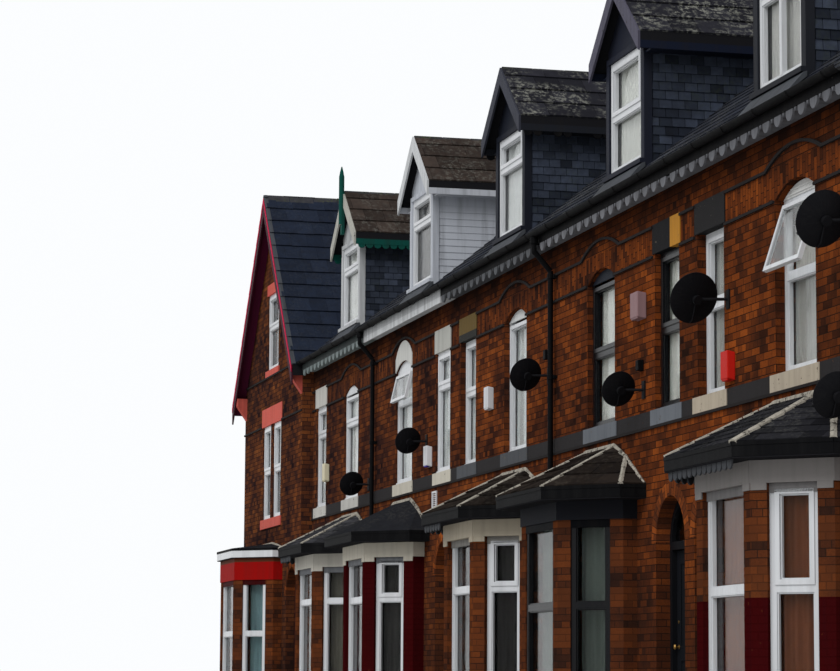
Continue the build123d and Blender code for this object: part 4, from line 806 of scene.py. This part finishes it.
class TERRACE_OT_walls(bpy.types.Operator):
    """Dress the brick walls, arches, bays, stone trim and steps"""
    bl_idname = "terrace.walls"
    bl_label = "Walls"

    def execute(self, context):
        dress(wall_brick="front_wall_a front_wall_b front_wall_c front_wall_d front_wall_e "
                         "front_wall_f front_wall_heads front_wall_piers end_wall_far "
                         "end_wall_near party_walls rear_wall_a rear_wall_lower rear_wall_upper",
              arch_brick="door_arches", pier_brick="bay_piers bay_walls",
              sill_paint="bay_sills window_sills", bay_lintel_paint="bay_lintels",
              lintel_paint="window_lintels", string_stone="hood_mould string_courses",
              band_stone="sill_band", step_stone_finish="door_steps",
              floor_boards="ground_floors first_floors attic_floors bay_floors")
        for letter in HOUSES:
            self.shoulders(letter)
        return {"FINISHED"}

    def shoulders(self, letter):
        """Lower ends of the bay lintels, and the boards between them over each window."""
        piece = Piece(f"bay_lintel_shoulders_{letter}", "bay_lintel_paint", "bay_infill")
        depth = BAY_SETBACK[letter]
        for place, half in bay_faces(letter):
            wide = 0.75 if half > 0.5 else 0.41
            for side in (-1, 1):
                if letter not in "ae":
                    piece.block((side * half, -0.0145, 2.945), (side * wide, 0.01, 3.012), place)
            piece.block((-half, depth - 0.014, 2.92), (half, depth + 0.001, 3.009), place, 1)
        piece.done("painted_stone", 0.004)


class TERRACE_OT_roofs(bpy.types.Operator):
    """Lay the slates and tiles of the main roofs and their ridges"""
    bl_idname = "terrace.roofs"
    bl_label = "Main roofs"

    def execute(self, context):
        roof = context.scene.terrace_roof
        dress(underlay="main_roof_front main_roof_rear gable_roof_left gable_roof_right "
                       "dormer_roofs bay_roofs")
        self.main_roof(roof.slate_gauge, roof.slate_width, SLATE_LIFT)
        self.end_roof(roof.tile_gauge, roof.tile_width, TILE_LIFT)
        self.ridges()
        return {"FINISHED"}

    def main_roof(self, *sizes):
        """Slates on both slopes, left out where the dormers stand."""
        cosine, sine, valley = cos(PITCH), sin(PITCH), -9.946
        crown = EAVES_Y / cosine
        inset, meet, shoulder = ((y + EAVES_Y) / cosine for y in (
            DORMER_Y, roof_y(DORMER_APEX), roof_y(DORMER_APEX - DORMER_WIDE * tan(DORMER_PITCH))))
        first, *others = DORMER.values()
        left = first - DORMER_WIDE
        regions = [[(valley, 0), (left, 0), (left, crown), (END_CENTRE, crown)]]
        for centre, after in zip(DORMER.values(), [*others, ROW_END + DORMER_WIDE]):
            left, right, end = centre - DORMER_WIDE, centre + DORMER_WIDE, after - DORMER_WIDE
            regions += [[(left, 0), (right, 0), (right, inset), (left, inset)],
                        [(right, 0), (end, 0), (end, crown), (right, crown)],
                        [(left, shoulder), (centre, meet), (centre, crown), (left, crown)],
                        [(centre, meet), (right, shoulder), (right, crown), (centre, crown)]]
        front = Piece("slates_front", "main_slates")
        for number, region in enumerate(regions):
            front.cover((0, -EAVES_Y, EAVES), (1, 0, 0), (0, cosine, sine), region, *sizes, number)
        front.done("roof_tile", clean=False)
        rear = Piece("slates_rear", "main_slates")
        rear.cover((0, EAVES_Y, EAVES), (-1, 0, 0), (0, -cosine, sine),
                   [(-ROW_END, 0), (-valley, 0), (-END_CENTRE, crown), (-ROW_END, crown)],
                   *sizes, 40)
        rear.done("roof_tile", clean=False)

    def end_roof(self, *sizes):
        """The steep roof of the end house, with its verge strips."""
        cosine, sine, caps = cos(END_PITCH), sin(END_PITCH), 13
        spans = {1: {50: [(VERGE, 0), (-EAVES_Y, 0), (0, 1), (VERGE, 1)],
                     51: [(EAVES_Y, 0), (EAVES_Y, 1), (0, 1)]},
                 -1: {52: [(-EAVES_Y, 0), (-VERGE, 0), (-VERGE, 1), (-EAVES_Y, 1)]}}
        verge = Piece("end_verge_caps", "lead_sheet")
        for side, name in ((1, "end_tiles_right"), (-1, "end_tiles_left")):
            tiles, crown = Piece(name, "end_tiles"), END_RUNS[side] / cosine
            for seed, region in spans[side].items():
                tiles.cover(end_foot(side, 0), (0, side, 0), (-side * cosine, 0, sine),
                            [(x, y * crown) for x, y in region], *sizes, seed, gap=0.002)
            tiles.done("roof_tile", clean=False)
            slope = Matrix.Translation(end_foot(side, VERGE))
            slope = slope @ Matrix.Rotation(-side * END_PITCH, 4, "Y").inverted()
            for i in range(caps):
                start, end = i * crown / caps, (i + 1) * crown / caps + 0.02
                verge.prism([(-side * x, -0.027, z) for x, z in (
                    (start, 0.028), (end, 0.006), (end, -0.06), (start, -0.05))],
                            (0, 0.075, 0), slope)
        verge.done("roof_tile", 0.003)

    def ridges(self):
        """Angled ridge tiles, each bedded in mortar at its joints."""
        piece = Piece("ridge_caps", "ridge_tile", "mortar_fillet")
        self.caps(piece, (END_CENTRE, 0, RIDGE), (ROW_END, 0, RIDGE), PITCH, (0, 1, 0))
        self.caps(piece, (END_CENTRE, VERGE, RIDGE), (END_CENTRE, EAVES_Y, RIDGE), END_PITCH,
                  (1, 0, 0))
        for centre in DORMER.values():
            self.caps(piece, (centre, DORMER_VERGE, DORMER_APEX),
                      (centre, roof_y(DORMER_APEX), DORMER_APEX), DORMER_PITCH, (1, 0, 0))
        made = piece.done("roof_tile", 0.003)
        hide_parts("ridge_tiles")

    def caps(self, piece, start, end, pitch, across):
        """Caps along one ridge."""
        start, end, across = Vector(start), Vector(end), Vector(across)
        way = (end - start).normalized()
        count = max(1, round((end - start).length / 0.45))
        step = (end - start).length / count
        leg = 0.18
        drop, wide = leg * sin(pitch), leg * cos(pitch)
        for i in range(count):
            dice = random.Random(i + count)
            lift = 0.004 + dice.random() * 0.006
            cap = [(-1, lift + 0.012), (0, lift + 0.012), (1, lift + 0.012), (1, lift - 0.006),
                   (0, lift - 0.01), (-1, lift - 0.006)]
            bed = [(-0.96, -0.012), (-0.96, lift + 0.004), (0, lift), (0.96, lift + 0.004),
                   (0.96, -0.012), (0, -0.02)]
            at = start + way * (step * i + 0.004)
            for slot, shape, gap, tone in ((0, cap, 0.008, dice.random()), (1, bed, 0.004, 0.5)):
                piece.prism([at + across * wide * side + UP * (height - drop * bool(side))
                             for side, height in shape], way * (step - gap), None, slot, tone)


class TERRACE_OT_dormers(bpy.types.Operator):
    """Hang the dormer cheeks, tile the dormer roofs and dress their boards"""
    bl_idname = "terrace.dormers"
    bl_label = "Dormers"

    def execute(self, context):
        dress(underlay="dormer_cheeks", dormer_paint="dormer_fronts",
              barge_paint="dormer_bargeboards", dormer_eaves_paint="dormer_eaves")
        cosine, sine = cos(DORMER_PITCH), sin(DORMER_PITCH)
        crown = DORMER_EDGE / cosine
        slope = [(DORMER_VERGE, 0), (DORMER_VERGE, crown), (roof_y(DORMER_APEX), crown),
                 (roof_y(DORMER_FOOT), 0)]
        for number, (letter, centre) in enumerate(DORMER.items()):
            tiles = Piece(f"dormer_tiles_{letter}", "dormer_tile")
            for side in (-1, 1):
                tiles.cover((centre + side * DORMER_EDGE, 0, DORMER_FOOT), (0, side, 0),
                            (-side * cosine, 0, sine), [(side * y, z) for y, z in slope],
                            *COVER_SIZES["dormer_tile"], 60 + number, gap=0.005)
            tiles.done("bay_tile", clean=False)
            self.cheeks(letter, centre, number)
            self.trim(letter, centre)
        return {"FINISHED"}

    def cheeks(self, letter, centre, number):
        """Small slates on the sides of a dormer, or boards at one house."""
        finish, front, laid = "cheek_slate", DORMER_Y + 0.07, (70 + number, 0.007)
        if letter == "c":
            finish, front, laid = "white_board", DORMER_Y, (70, 0.004, False, 0.5)
        piece = Piece(f"dormer_cheek_{letter}", finish)
        low = WALL_TOP + tan(PITCH) * (front + WALL) + 0.01
        shape = [(front, low), (roof_y(DORMER_EAVES), DORMER_EAVES), (front, DORMER_EAVES)]
        for side in (-1, 1):
            piece.cover((centre + side * DORMER_WIDE, 0, 0), (0, side, 0), (0, 0, 1),
                        [(side * y, z) for y, z in shape], *COVER_SIZES[finish], *laid)
        piece.done("slate", clean=False)

    def trim(self, letter, centre):
        """Corner boards, window surround, apron and moulded eaves of one dormer."""
        piece = Piece(f"dormer_trim_{letter}", "dormer_paint", "dormer_eaves_paint",
                      "lead_sheet", "valance_paint")
        y, slope = DORMER_Y, 0.12 * tan(PITCH)
        for side in (-1, 1):
            corner = centre + side * DORMER_WIDE
            piece.block((corner, y - 0.024, 7.0), (corner - side * 0.1, y + 0.002, 8.5))
            piece.block((corner, y - 0.024, 7.02),
                        (corner + side * 0.022, y + 0.075, DORMER_EAVES + 0.01))
            if letter in "bd":
                self.scallops(piece, centre + side * (DORMER_EDGE - 0.004), side, letter)
        piece.block((centre - 0.68, y - 0.03, 8.45), (centre + 0.68, y + 0.01, 8.52))
        piece.block((centre - 0.72, y - 0.075, 7.055), (centre + 0.72, y + 0.03, 7.11))
        apron = [(y - 0.012, 7.06), (y - 0.05, 7.05), (-4.12, WALL_TOP - slope + 0.03),
                 (-4.12, WALL_TOP - slope + 0.018), (y - 0.012, WALL_TOP + slope + 0.01)]
        piece.prism([(centre - 0.73, *point) for point in apron], (1.46, 0, 0), slot=2)
        if letter == "b":
            self.finial(turn(0, centre, -4.067))
        piece.done("painted_board", 0.003)

    def finial(self, place):
        """The post and its turned top on one dormer."""
        profile = [(0.03, 9.30), (0.05, 9.33), (0.05, 9.38), (0.034, 9.41), (0.034, 9.5),
                   (0.045, 9.52), (0.02, 9.56), (0.02, 9.62), (0.038, 9.66), (0.028, 9.7),
                   (0.006, 9.76)]
        post = Piece("dormer_finial", "finial_green")
        post.turned([(radius * 0.9, height) for radius, height in profile], place, 20)
        post.block((-0.05, -0.004, 8.62), (0.05, 0.046, 9.32), place)
        post.prism([(-0.3, 0.03, 9.02), (0.3, 0.03, 9.02), (0.24, 0.03, 9.08),
                    (-0.24, 0.03, 9.08)], (0, 0.02, 0), place)
        post.done("painted_board", 0.003)

    def scallops(self, piece, edge, side, letter):
        """Rounded drops under a dormer's eaves board, with three missing at one house."""
        pitch = 0.135
        drop = rounded_drop(pitch, 0.9, 0.42, 0.01, 0.02, 0.045)
        for i in range(9):
            if letter == "b" or i not in (2, 5, 6):
                piece.prism([(edge, -3.98 + i * pitch + y, DORMER_EAVES + z) for y, z in drop],
                            (-side * 0.018, 0, 0), slot=1 if letter == "b" else 3)


class TERRACE_OT_bays(bpy.types.Operator):
    """Cover the bay roofs and hang their boards"""
    bl_idname = "terrace.bays"
    bl_label = "Bay roofs"

    def execute(self, context):
        for letter in HOUSES:
            ring, tops = self.corners(letter)
            self.roof(letter, ring, tops)
            self.eaves(letter, ring)
        return {"FINISHED"}

    def corners(self, letter):
        """Eaves corners of a bay roof from far to near, and the points where its slopes end."""
        x, y = BAY[letter], FRONT[letter]
        front_out, side_out, rise, eave = ((0.07, 0.07, 0.12, 3.57) if letter == "a"
                                           else (0.25, 0.33, 0.52, 3.37))
        cant = sqrt(0.5)
        reach = cant * 1.5 + side_out
        run, edge = 0.75 + front_out, 1.34 + side_out
        corner, bend, top = reach / cant - run, (edge - reach) / (1 - cant), (reach - run) / cant
        ring = [(edge, 0.0), (edge, edge - reach / cant), (corner, -run)]
        tops = [(bend, rise * (edge - bend) / run), (top, rise)]
        return ([Vector((x - a, y + b, eave)) for a, b in ring]
                + [Vector((x + a, y + b, eave)) for a, b in ring[::-1]],
                [Vector((x - a, y, eave + h)) for a, h in tops]
                + [Vector((x + a, y, eave + h)) for a, h in tops[::-1]])

    def roof(self, letter, ring, tops):
        """Tiles on each slope, with pale strips on the hips and a fillet at the wall."""
        piece = Piece(f"bay_cover_{letter}", COVERS[letter], "mortar_fillet")
        for number, (a, b) in enumerate(zip(ring, ring[1:])):
            high = tops[max(0, number - 1):number + 1][::-1]
            along = (b - a).normalized()
            up = ((high[0] - a) - along * (high[0] - a).dot(along)).normalized()
            region = [(0, 0), ((b - a).length, 0)]
            region += [((p - a).dot(along), (p - a).dot(up)) for p in high]
            piece.cover(a, along, up, region, *COVER_SIZES[COVERS[letter]],
                        90 + number + 10 * HOUSES.index(letter), gap=0.003)
        for corner, high, wide in zip(ring[1:], tops, HIPS.get(letter, ())):
            self.strip(piece, corner, high, wide)
        line, down = [ring[0], *tops, ring[5]], Vector((0, -0.02, 0.004))
        for start, end in zip(line, line[1:]):
            self.strip(piece, start + down, end + down, 0.024)
        piece.done("bay_tile", clean=False)

    def strip(self, piece, start, end, half):
        """A narrow raised strip from one point to another, broken into uneven lengths."""
        way, reach = (end - start).normalized(), (end - start).length
        side = way.cross(UP).normalized()
        upward = side.cross(way)
        steps = 7
        dice = random.Random(int(abs(start.x) * 1000) + int(half * 1000))
        for i in range(steps):
            a = start + way * (reach * i / steps)
            b = start + way * (reach * (i + 1) / steps - dice.uniform(0.002, 0.012))
            wide = half * dice.uniform(0.85, 1.1)
            piece.prism([a + side * wide * across + upward * height for across, height in (
                (-1, -0.02), (-0.8, 0.016), (0, 0.026), (0.8, 0.016), (1, -0.02))], b - a, slot=1)

    def eaves(self, letter, ring):
        """Fascia boards, a small gutter and the scalloped drops that remain."""
        end_house = letter == "a"
        piece = Piece(f"bay_eaves_{letter}", "frame_white" if end_house else "valance_paint",
                      "black_plastic")
        top, bottom = ring[0].z, 3.4 if end_house else 3.22
        counts = {1: 6, 2: DROPS[letter]} if letter in DROPS else {}
        pitch = 0.14
        drop = rounded_drop(pitch, 0.92, 0.44, 0.02, 0.03, 0.06)
        for number, (a, b) in enumerate(zip(ring, ring[1:])):
            reach = (b - a).length
            place = turn(degrees(atan2(b.y - a.y, b.x - a.x)), a.x, a.y)
            piece.block((0.0, -0.006, bottom + 0.012), (reach, 0.014, top - 0.035), place,
                        0 if end_house else 1)
            piece.block((0.0, -0.012, top - 0.036), (reach, 0.02, top + 0.004), place, 1)
            for i in range(counts.get(number, 0)):
                piece.prism([(0.02 + i * pitch + u, 0.03, bottom + v) for u, v in drop],
                            (0, 0.018, 0), place)
        piece.done("painted_board", 0.002)


class TERRACE_OT_windows(bpy.types.Operator):
    """Dress frames and panes, and add opening lights, beads, sills and curtains"""
    bl_idname = "terrace.windows"
    bl_label = "Windows"

    def execute(self, context):
        dress(frame_white="window_frames bay_window_frames open_casements",
              door_frame_paint="fanlight_frames door_jambs", window_pane="window_glass")
        beads = Piece("window_beads", "frame_white")
        for letter in TERRACE:
            for centre, half in ((BAY[letter], 0.535), (FLAT[letter], 0.415)):
                place = turn(0, centre, SETBACK[letter] - WALL)
                self.lights(beads, place, half, UPPER_HEIGHTS, TRANSOM[letter],
                            letter not in "cf" or half < 0.5)
                beads.block((-half, -0.02, 4.171), (half, 0.02, 4.2), place)
        front = FRONT["a"] + SETBACK["a"]
        for centre in PAIR:
            self.lights(beads, turn(0, centre, front), 0.375, UPPER_HEIGHTS, TRANSOM["a"])
        self.lights(beads, turn(0, END_CENTRE, front), 0.525, ATTIC_HEIGHTS, 7.71)
        for letter, centre in DORMER.items():
            self.lights(beads, turn(0, centre, DORMER_Y), 0.59, DORMER_HEIGHTS,
                        DORMER_TRANSOM[letter])
        beads.block((-0.032, -0.006, 7.17), (0.032, 0.05, 8.39), turn(0, DORMER["f"], DORMER_Y))
        sills = Piece("rear_sills", "step_stone_finish")
        for centre in REAR_WINDOWS:
            for heights in (REAR_HEIGHTS, UPPER_HEIGHTS):
                sill, head = heights
                self.lights(beads, turn(180, centre, 3.89), 0.415, heights, head - 0.62)
                sills.block((centre - 0.5, 3.87, sill - 0.075), (centre + 0.5, 4.04, sill))
        beads.done("white_frame", 0.003)
        for letter in "bdef":
            self.arch_board(letter)
        panel = Piece("render_panel_c", "render_paint")
        edge = segment(0.53, 0.142) + [(x, 0.2 + z) for x, z in segment(0.53, 0.25)[::-1]]
        panel.prism([(BAY["c"] + x, -4.012, 5.88 + z) for x, z in edge], (0, 0.016, 0))
        panel.done("painted_stone", 0.003)
        for letter in HOUSES:
            self.bay_lights(letter)
            self.curtains(letter)
        sills.done("painted_stone", 0.006)
        return {"FINISHED"}

    def arch_board(self, letter):
        """The boarded head of one arched window."""
        springing, half, crown = 5.882, 0.525, 0.132
        piece = Piece(f"arch_board_{letter}", "arch_paint")
        x, y = BAY[letter], FRONT[letter] + SETBACK[letter]
        piece.prism([(x + u, y - 0.012, springing + v) for u, v in segment(half, crown)],
                    (0, 0.02, 0))
        if letter == "f":
            for z in (0.03, 0.075):
                wide = half * sqrt(1 - z / crown) - 0.04
                piece.block((x - wide, y - 0.024, springing + z - 0.008),
                            (x + wide, y - 0.01, springing + z + 0.008))
        piece.done("white_frame", 0.002)

    def lights(self, piece, place, half, heights, transom, sash=True):
        """Glazing beads round both panes, and an opening light in the upper one."""
        (sill, head), wide = heights, half - FACE
        for low, high, opens in ((sill + FACE, transom - 0.04, False),
                                 (transom + 0.04, head - FACE, sash)):
            inset = 0.038 if opens else 0
            if high - low < 0.1:
                continue
            if opens:
                piece.border(wide + 0.012, low - 0.012, high + 0.012, 0.05, -0.014, 0.02, place)
            piece.border(wide - inset, low + inset, high - inset, 0.014, 0.012, 0.058, place)

    def bay_lights(self, letter):
        """Opening lights and beads of one bay."""
        piece = Piece(f"bay_beads_{letter}", "frame_white")
        for number, (place, half) in enumerate(bay_faces(letter)):
            depth = place @ Matrix.Translation((0, BAY_SETBACK[letter], 0))
            self.lights(piece, depth, half, BAY_HEIGHTS, BAY_TRANSOM[letter],
                        number > 0 and letter in "cdf")
            piece.block((-half, -0.03, 1.201), (half, 0.02, 1.23), depth)
        piece.done("white_frame", 0.003)

    def curtains(self, letter):
        """Gathered curtains behind the bay and the upper windows of one house."""
        for number, (place, half) in enumerate(bay_faces(letter)):
            self.curtain(f"bay_{letter}_{number}", place, half - 0.03, 0.21, 1.22, 2.98)
        if letter == "a":
            for number, centre in enumerate(PAIR):
                self.curtain(f"upper_a_{number}", turn(0, centre, FRONT["a"]), 0.33, 0.16, 4.2,
                             5.86)
            return
        behind = SETBACK[letter] + 0.11
        for kind, place, half, depth, low, high in (
                ("flat", turn(0, FLAT[letter], -WALL), 0.37, behind, 4.2, 5.86),
                ("arch", turn(0, BAY[letter], -WALL), 0.48, behind, 4.2, 5.84),
                ("dormer", turn(0, DORMER[letter], DORMER_Y), 0.52, 0.11, 7.17, 8.41)):
            self.curtain(f"{kind}_{letter}", place, half, depth, low, high)

    def curtain(self, name, place, half, depth, low, high):
        """One gathered curtain that hangs in soft folds."""
        name = "curtain_" + name
        dice = random.Random(name)
        columns, rows = 48, 6
        folds = max(3, round(half * 2 / 0.11))
        phase = dice.random() * 6
        # The bay curtains, and the dormer one of house c, take the net cloth, which at houses c
        # and d is near-black painted shade.
        piece = Piece(name, "net_cloth" if low < 4 or name == "curtain_dormer_c"
                      else "blind_cloth")
        points = []
        for up in [i / rows for i in range(rows + 1)]:
            for t in [i / columns for i in range(columns + 1)]:
                wave = sin(2 * pi * folds * t + phase + 0.4 * sin(5 * t + up))
                points.append((-half + 2 * half * t, depth + (0.014 + 0.008 * (1 - up)) * wave,
                               low + (high - low) * up))
        width = sum((Vector(points[i + 1]) - Vector(points[i])).length for i in range(columns))
        flat = (width, high - low)
        step = columns + 1
        piece.add(points, [(i, i + 1, i + step + 1, i + step) for i in range(rows * step)
                           if i % step < columns], place)
        made = piece.done("white_frame", smooth=True, clean=False)


class TERRACE_OT_doors(bpy.types.Operator):
    """Dress the front doors and fit their furniture and mouldings"""
    bl_idname = "terrace.doors"
    bl_label = "Front doors"

    def execute(self, context):
        dress(black_plastic="door_hinges")
        for letter in HOUSES:
            dress(door_paint=f"front_door_{letter}")
            self.furniture(letter)
        return {"FINISHED"}

    def furniture(self, letter):
        """Panel mouldings, a knob, a letter plate, a lock and a weather bar on one leaf."""
        x, y, half = DOOR[letter], FRONT[letter] + 0.215, 0.402
        moulds = Piece(f"door_mouldings_{letter}", "door_paint")
        near, far = 0.055, half - 0.11
        for side in (-1, 1):
            place = turn(0, x + side * (near + far) / 2, y - 0.003)
            for low, high in ((0.868, 1.443), (1.573, 2.492)):
                moulds.border((far - near) / 2, low, high, 0.018, 0, 0.012, place)
        moulds.prism([(x - half, y, 0.62), (x - half, y - 0.035, 0.63), (x - half, y, 0.69)],
                     (2 * half, 0, 0))
        moulds.done("front_door", 0.003, f"door_{letter}")
        furniture = Piece(f"door_furniture_{letter}", "brass")
        latch = x - HALL[letter] * (half - 0.06)
        knob = [(0.0001, 0), (0.026, 0.001), (0.026, 0.006), (0.012, 0.012), (0.012, 0.03),
                (0.028, 0.04), (0.031, 0.052), (0.022, 0.064), (0.0001, 0.067)]
        lock = [(0.0001, 0), (0.018, 0.001), (0.018, 0.008), (0.0001, 0.01)]
        for profile, height, sides in ((knob, 1.58, 24), (lock, 1.85, 16)):
            furniture.turned(profile, turn(0, latch, y, height)
                             @ Matrix.Rotation(radians(90), 4, "X"), sides)
        furniture.block((x - 0.13, y - 0.006, 1.475), (x + 0.13, y + 0.001, 1.54))
        furniture.block((x - 0.11, y - 0.011, 1.487), (x + 0.11, y - 0.005, 1.528))
        furniture.done("front_door", 0.002, f"door_{letter}")


class TERRACE_OT_eaves(bpy.types.Operator):
    """Dress boards, gutters and pipes, and fit brackets and collars"""
    bl_idname = "terrace.eaves"
    bl_label = "Eaves and pipes"

    def execute(self, context):
        dress(valance_paint="eaves_boards", gable_red="gable_bargeboards",
              gable_salmon="gable_kneelers", black_plastic="gutters downpipes")
        fixings = Piece("gutter_brackets", "black_plastic")
        y, z, radius = -4.283, 6.725, 0.064
        for x in [-9.6 + 0.9 * i for i in range(28)]:
            for side, first in ((1, 0), (-1, 2)):
                angles = [pi + pi * k / 8 for k in range(first, 9)]
                fixings.tube([(x, side * (y + radius * cos(a)), z + radius * sin(a))
                              for a in angles], 0.004, 6)
        for x in (-5.0, 5.0):
            for low in (1.2, 3.0, 4.9, 6.15):
                fixings.turned([(0.035, 0), (0.043, 0.004), (0.043, 0.06), (0.035, 0.064)],
                               turn(0, x, -4.071, low), 20)
                fixings.block((x - 0.07, -4.05, low + 0.01), (x + 0.07, -4.0, low + 0.05))
            fixings.turned([(0.035, 0), (0.05, 0.02), (0.05, 0.09), (0.035, 0.1)],
                           turn(0, x, y, 6.57), 20)
        fixings.done("black_pipe", 0.0015)
        line = Piece("gable_edge_line", "gable_line")
        peak = Vector((END_CENTRE, -4.427, RIDGE))
        for side in END_RUNS:
            foot = end_foot(side, -4.427)
            line.prism([foot - UP * 0.04, foot - UP * 0.13, peak - UP * 0.13, peak - UP * 0.04],
                       (0, 0.03, 0))
        line.done("red_board", 0.004)
        return {"FINISHED"}


class TERRACE_OT_fittings(bpy.types.Operator):
    """Fit the dishes' arms, the alarm boxes and the vents"""
    bl_idname = "terrace.fittings"
    bl_label = "Wall fittings"

    def execute(self, context):
        dress(dish_paint="satellite_dishes")
        for number, dish in enumerate(DISHES):
            self.receiver(number, *dish)
        for number, (x, z, half, finish) in enumerate(BOXES):
            piece = Piece(f"alarm_box_{number}", finish, "box_blue")
            face = -WALL - 0.69 * half
            piece.prism([(x - half, -WALL, z - 0.16), (x + half, -WALL, z - 0.16),
                         (x + half - 0.015, face, z - 0.14), (x - half + 0.015, face, z - 0.14)],
                        (0, 0, 0.29))
            piece.block((x - half + 0.035, face + 0.004, z - 0.158),
                        (x + half - 0.035, -4.02, z - 0.138), slot=1 if number == 1 else 0)
            made = piece.done("alarm_box", 0.01)
            if number == 0:
                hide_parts("alarm_boxes")
        small = Piece("small_wall_boxes", "black_plastic")
        for x, z in ((4.71, 5.24), (8.43, 4.71)):
            small.block((x - 0.05, -4.07, z - 0.06), (x + 0.05, -4.0, z + 0.06))
        small.done("black_pipe", 0.008)
        vent = Piece("wall_vent", "box_white")
        x, z = -1.15, 3.79
        vent.border(0.13, z - 0.13, z + 0.13, 0.03, -4.02, -4.0, turn(0, x))
        for low in [z - 0.095 + i * 0.028 for i in range(7)]:
            vent.block((x - 0.1, -4.014, low), (x + 0.1, -4.001, low + 0.012))
        vent.done("white_frame", 0.002)
        return {"FINISHED"}

    def receiver(self, number, x, z, radius):
        """The arm and receiver in front of one dish, and the bracket behind it."""
        facing = turn(-80, x, -4.05 - radius, z) @ Matrix.Rotation(radians(90 - 22), 4, "X")
        piece = Piece(f"dish_fittings_{number}", "dish_paint")
        back, bend, foot, head, aim, hub, socket = (facing @ Vector((0, *spot)) for spot in (
            (-0.02, -0.01), (-0.8 * radius, -0.006), (-0.97 * radius, 0.17 * radius),
            (-0.67 * radius, 1.33 * radius), (0.17 * radius, 0.33 * radius), (0, -0.012),
            (0, -0.05)))
        piece.tube([back, bend, foot, head], 0.009, 8)
        way = (aim - head).normalized()
        side = way.orthogonal().normalized()
        place = Matrix((side, way.cross(side), way)).transposed().to_4x4()
        piece.turned([(0.0001, -0.07), (0.02, -0.07), (0.022, -0.01), (0.03, 0.0),
                      (0.032, 0.03), (0.0001, 0.034)], Matrix.Translation(head) @ place, 16)
        piece.tube([hub, socket], 0.05, 14)
        piece.done("dish_metal", 0.002)


class TERRACE_OT_stage(bpy.types.Operator):
    """Set the plain floor, the soft light and the camera"""
    bl_idname = "terrace.stage"
    bl_label = "Stage"

    def execute(self, context):
        scene, stage = context.scene, context.scene.terrace_stage
        scene.view_settings.view_transform = "Standard"
        mesh = bpy.data.meshes.new("floor")
        mesh.from_pydata([(-300, -300, 0), (300, -300, 0), (300, 300, 0), (-300, 300, 0)], [],
                         [(0, 1, 2, 3)])
        floor = bpy.data.objects.new("floor", mesh)
        scene.collection.objects.link(floor)
        look = Look("stage_floor")
        look.finish(look.blend(look.noise(look.position, 0.2), stage.floor, "cececd"), 0.9)
        mesh.materials.append(look.made)
        world = bpy.data.worlds.new("soft_sky")
        world.use_nodes = True
        scene.world = world
        sky = Nodes(world.node_tree)
        ray = sky.add("LightPath")
        seen = sky.maths("MAXIMUM", ray["Is Camera Ray"], ray["Is Glossy Ray"])
        seen = sky.maths("MAXIMUM", seen, ray["Is Transmission Ray"])
        sky.feed(world.node_tree.nodes["Background"].inputs, {
            "Strength": seen * (1.0 - stage.sky) + stage.sky, "Color": (0.97, 0.985, 1.0)})
        lamp = bpy.data.lights.new("soft_lamp", "SUN")
        lamp.energy, lamp.angle = stage.sun, radians(35)
        light = bpy.data.objects.new("soft_lamp", lamp)
        light.rotation_euler = (radians(48), 0, radians(38))
        scene.collection.objects.link(light)
        self.camera(scene)
        return {"FINISHED"}

    def camera(self, scene):
        """The camera stands in the street beyond the near end and looks along the row."""
        lens = bpy.data.cameras.new("camera")
        lens.sensor_width, lens.lens, lens.clip_end = 36, 122.14, 500
        made = bpy.data.objects.new("camera", lens)
        scene.collection.objects.link(made)
        yaw, pitch, roll = radians(13.616), radians(6.997), radians(0.362)
        ahead = Vector((-cos(yaw) * cos(pitch), sin(yaw) * cos(pitch), sin(pitch)))
        right = ahead.cross(UP).normalized()
        up = right.cross(ahead)
        turned = Matrix((right * cos(roll) + up * sin(roll), up * cos(roll) - right * sin(roll),
                         -ahead)).transposed().to_4x4()
        made.matrix_world = Matrix.Translation((38.577, -13.861, 1.15)) @ turned
        scene.camera = made


class TERRACE_PT_panel(bpy.types.Panel):
    """Lists the operators that build the row"""
    bl_idname = "TERRACE_PT_panel"
    bl_label = "Terraced house row"
    bl_space_type = "VIEW_3D"
    bl_region_type = "UI"
    bl_category = "Terrace"

    def draw(self, context):
        for name in SETTINGS:
            settings = getattr(context.scene, name)
            column = self.layout.column()
            for key in settings.__annotations__:
                column.prop(settings, key)
        for operator in OPERATORS:
            self.layout.operator(operator.bl_idname)


SETTINGS = {"terrace_brick": TerraceBrick, "terrace_roof": TerraceRoof,
            "terrace_joinery": TerraceJoinery, "terrace_stage": TerraceStage}
OPERATORS = [TERRACE_OT_finishes, TERRACE_OT_walls, TERRACE_OT_roofs, TERRACE_OT_dormers,
             TERRACE_OT_bays, TERRACE_OT_windows, TERRACE_OT_doors, TERRACE_OT_eaves,
             TERRACE_OT_fittings, TERRACE_OT_stage]


def register():
    """Register the settings, the operators and the panel."""
    for name, settings in SETTINGS.items():
        bpy.utils.register_class(settings)
        setattr(bpy.types.Scene, name, PointerProperty(type=settings))
    for made in [*OPERATORS, TERRACE_PT_panel]:
        bpy.utils.register_class(made)


def unregister():
    """Take everything out again."""
    for made in [TERRACE_PT_panel, *reversed(OPERATORS)]:
        bpy.utils.unregister_class(made)
    for name, settings in SETTINGS.items():
        delattr(bpy.types.Scene, name)
        bpy.utils.unregister_class(settings)


def main():
    """Build the row in order."""
    register()
    for operator in OPERATORS:
        group_name, name = operator.bl_idname.split(".")
        getattr(getattr(bpy.ops, group_name), name)()


if __name__ == "__main__":
    main()
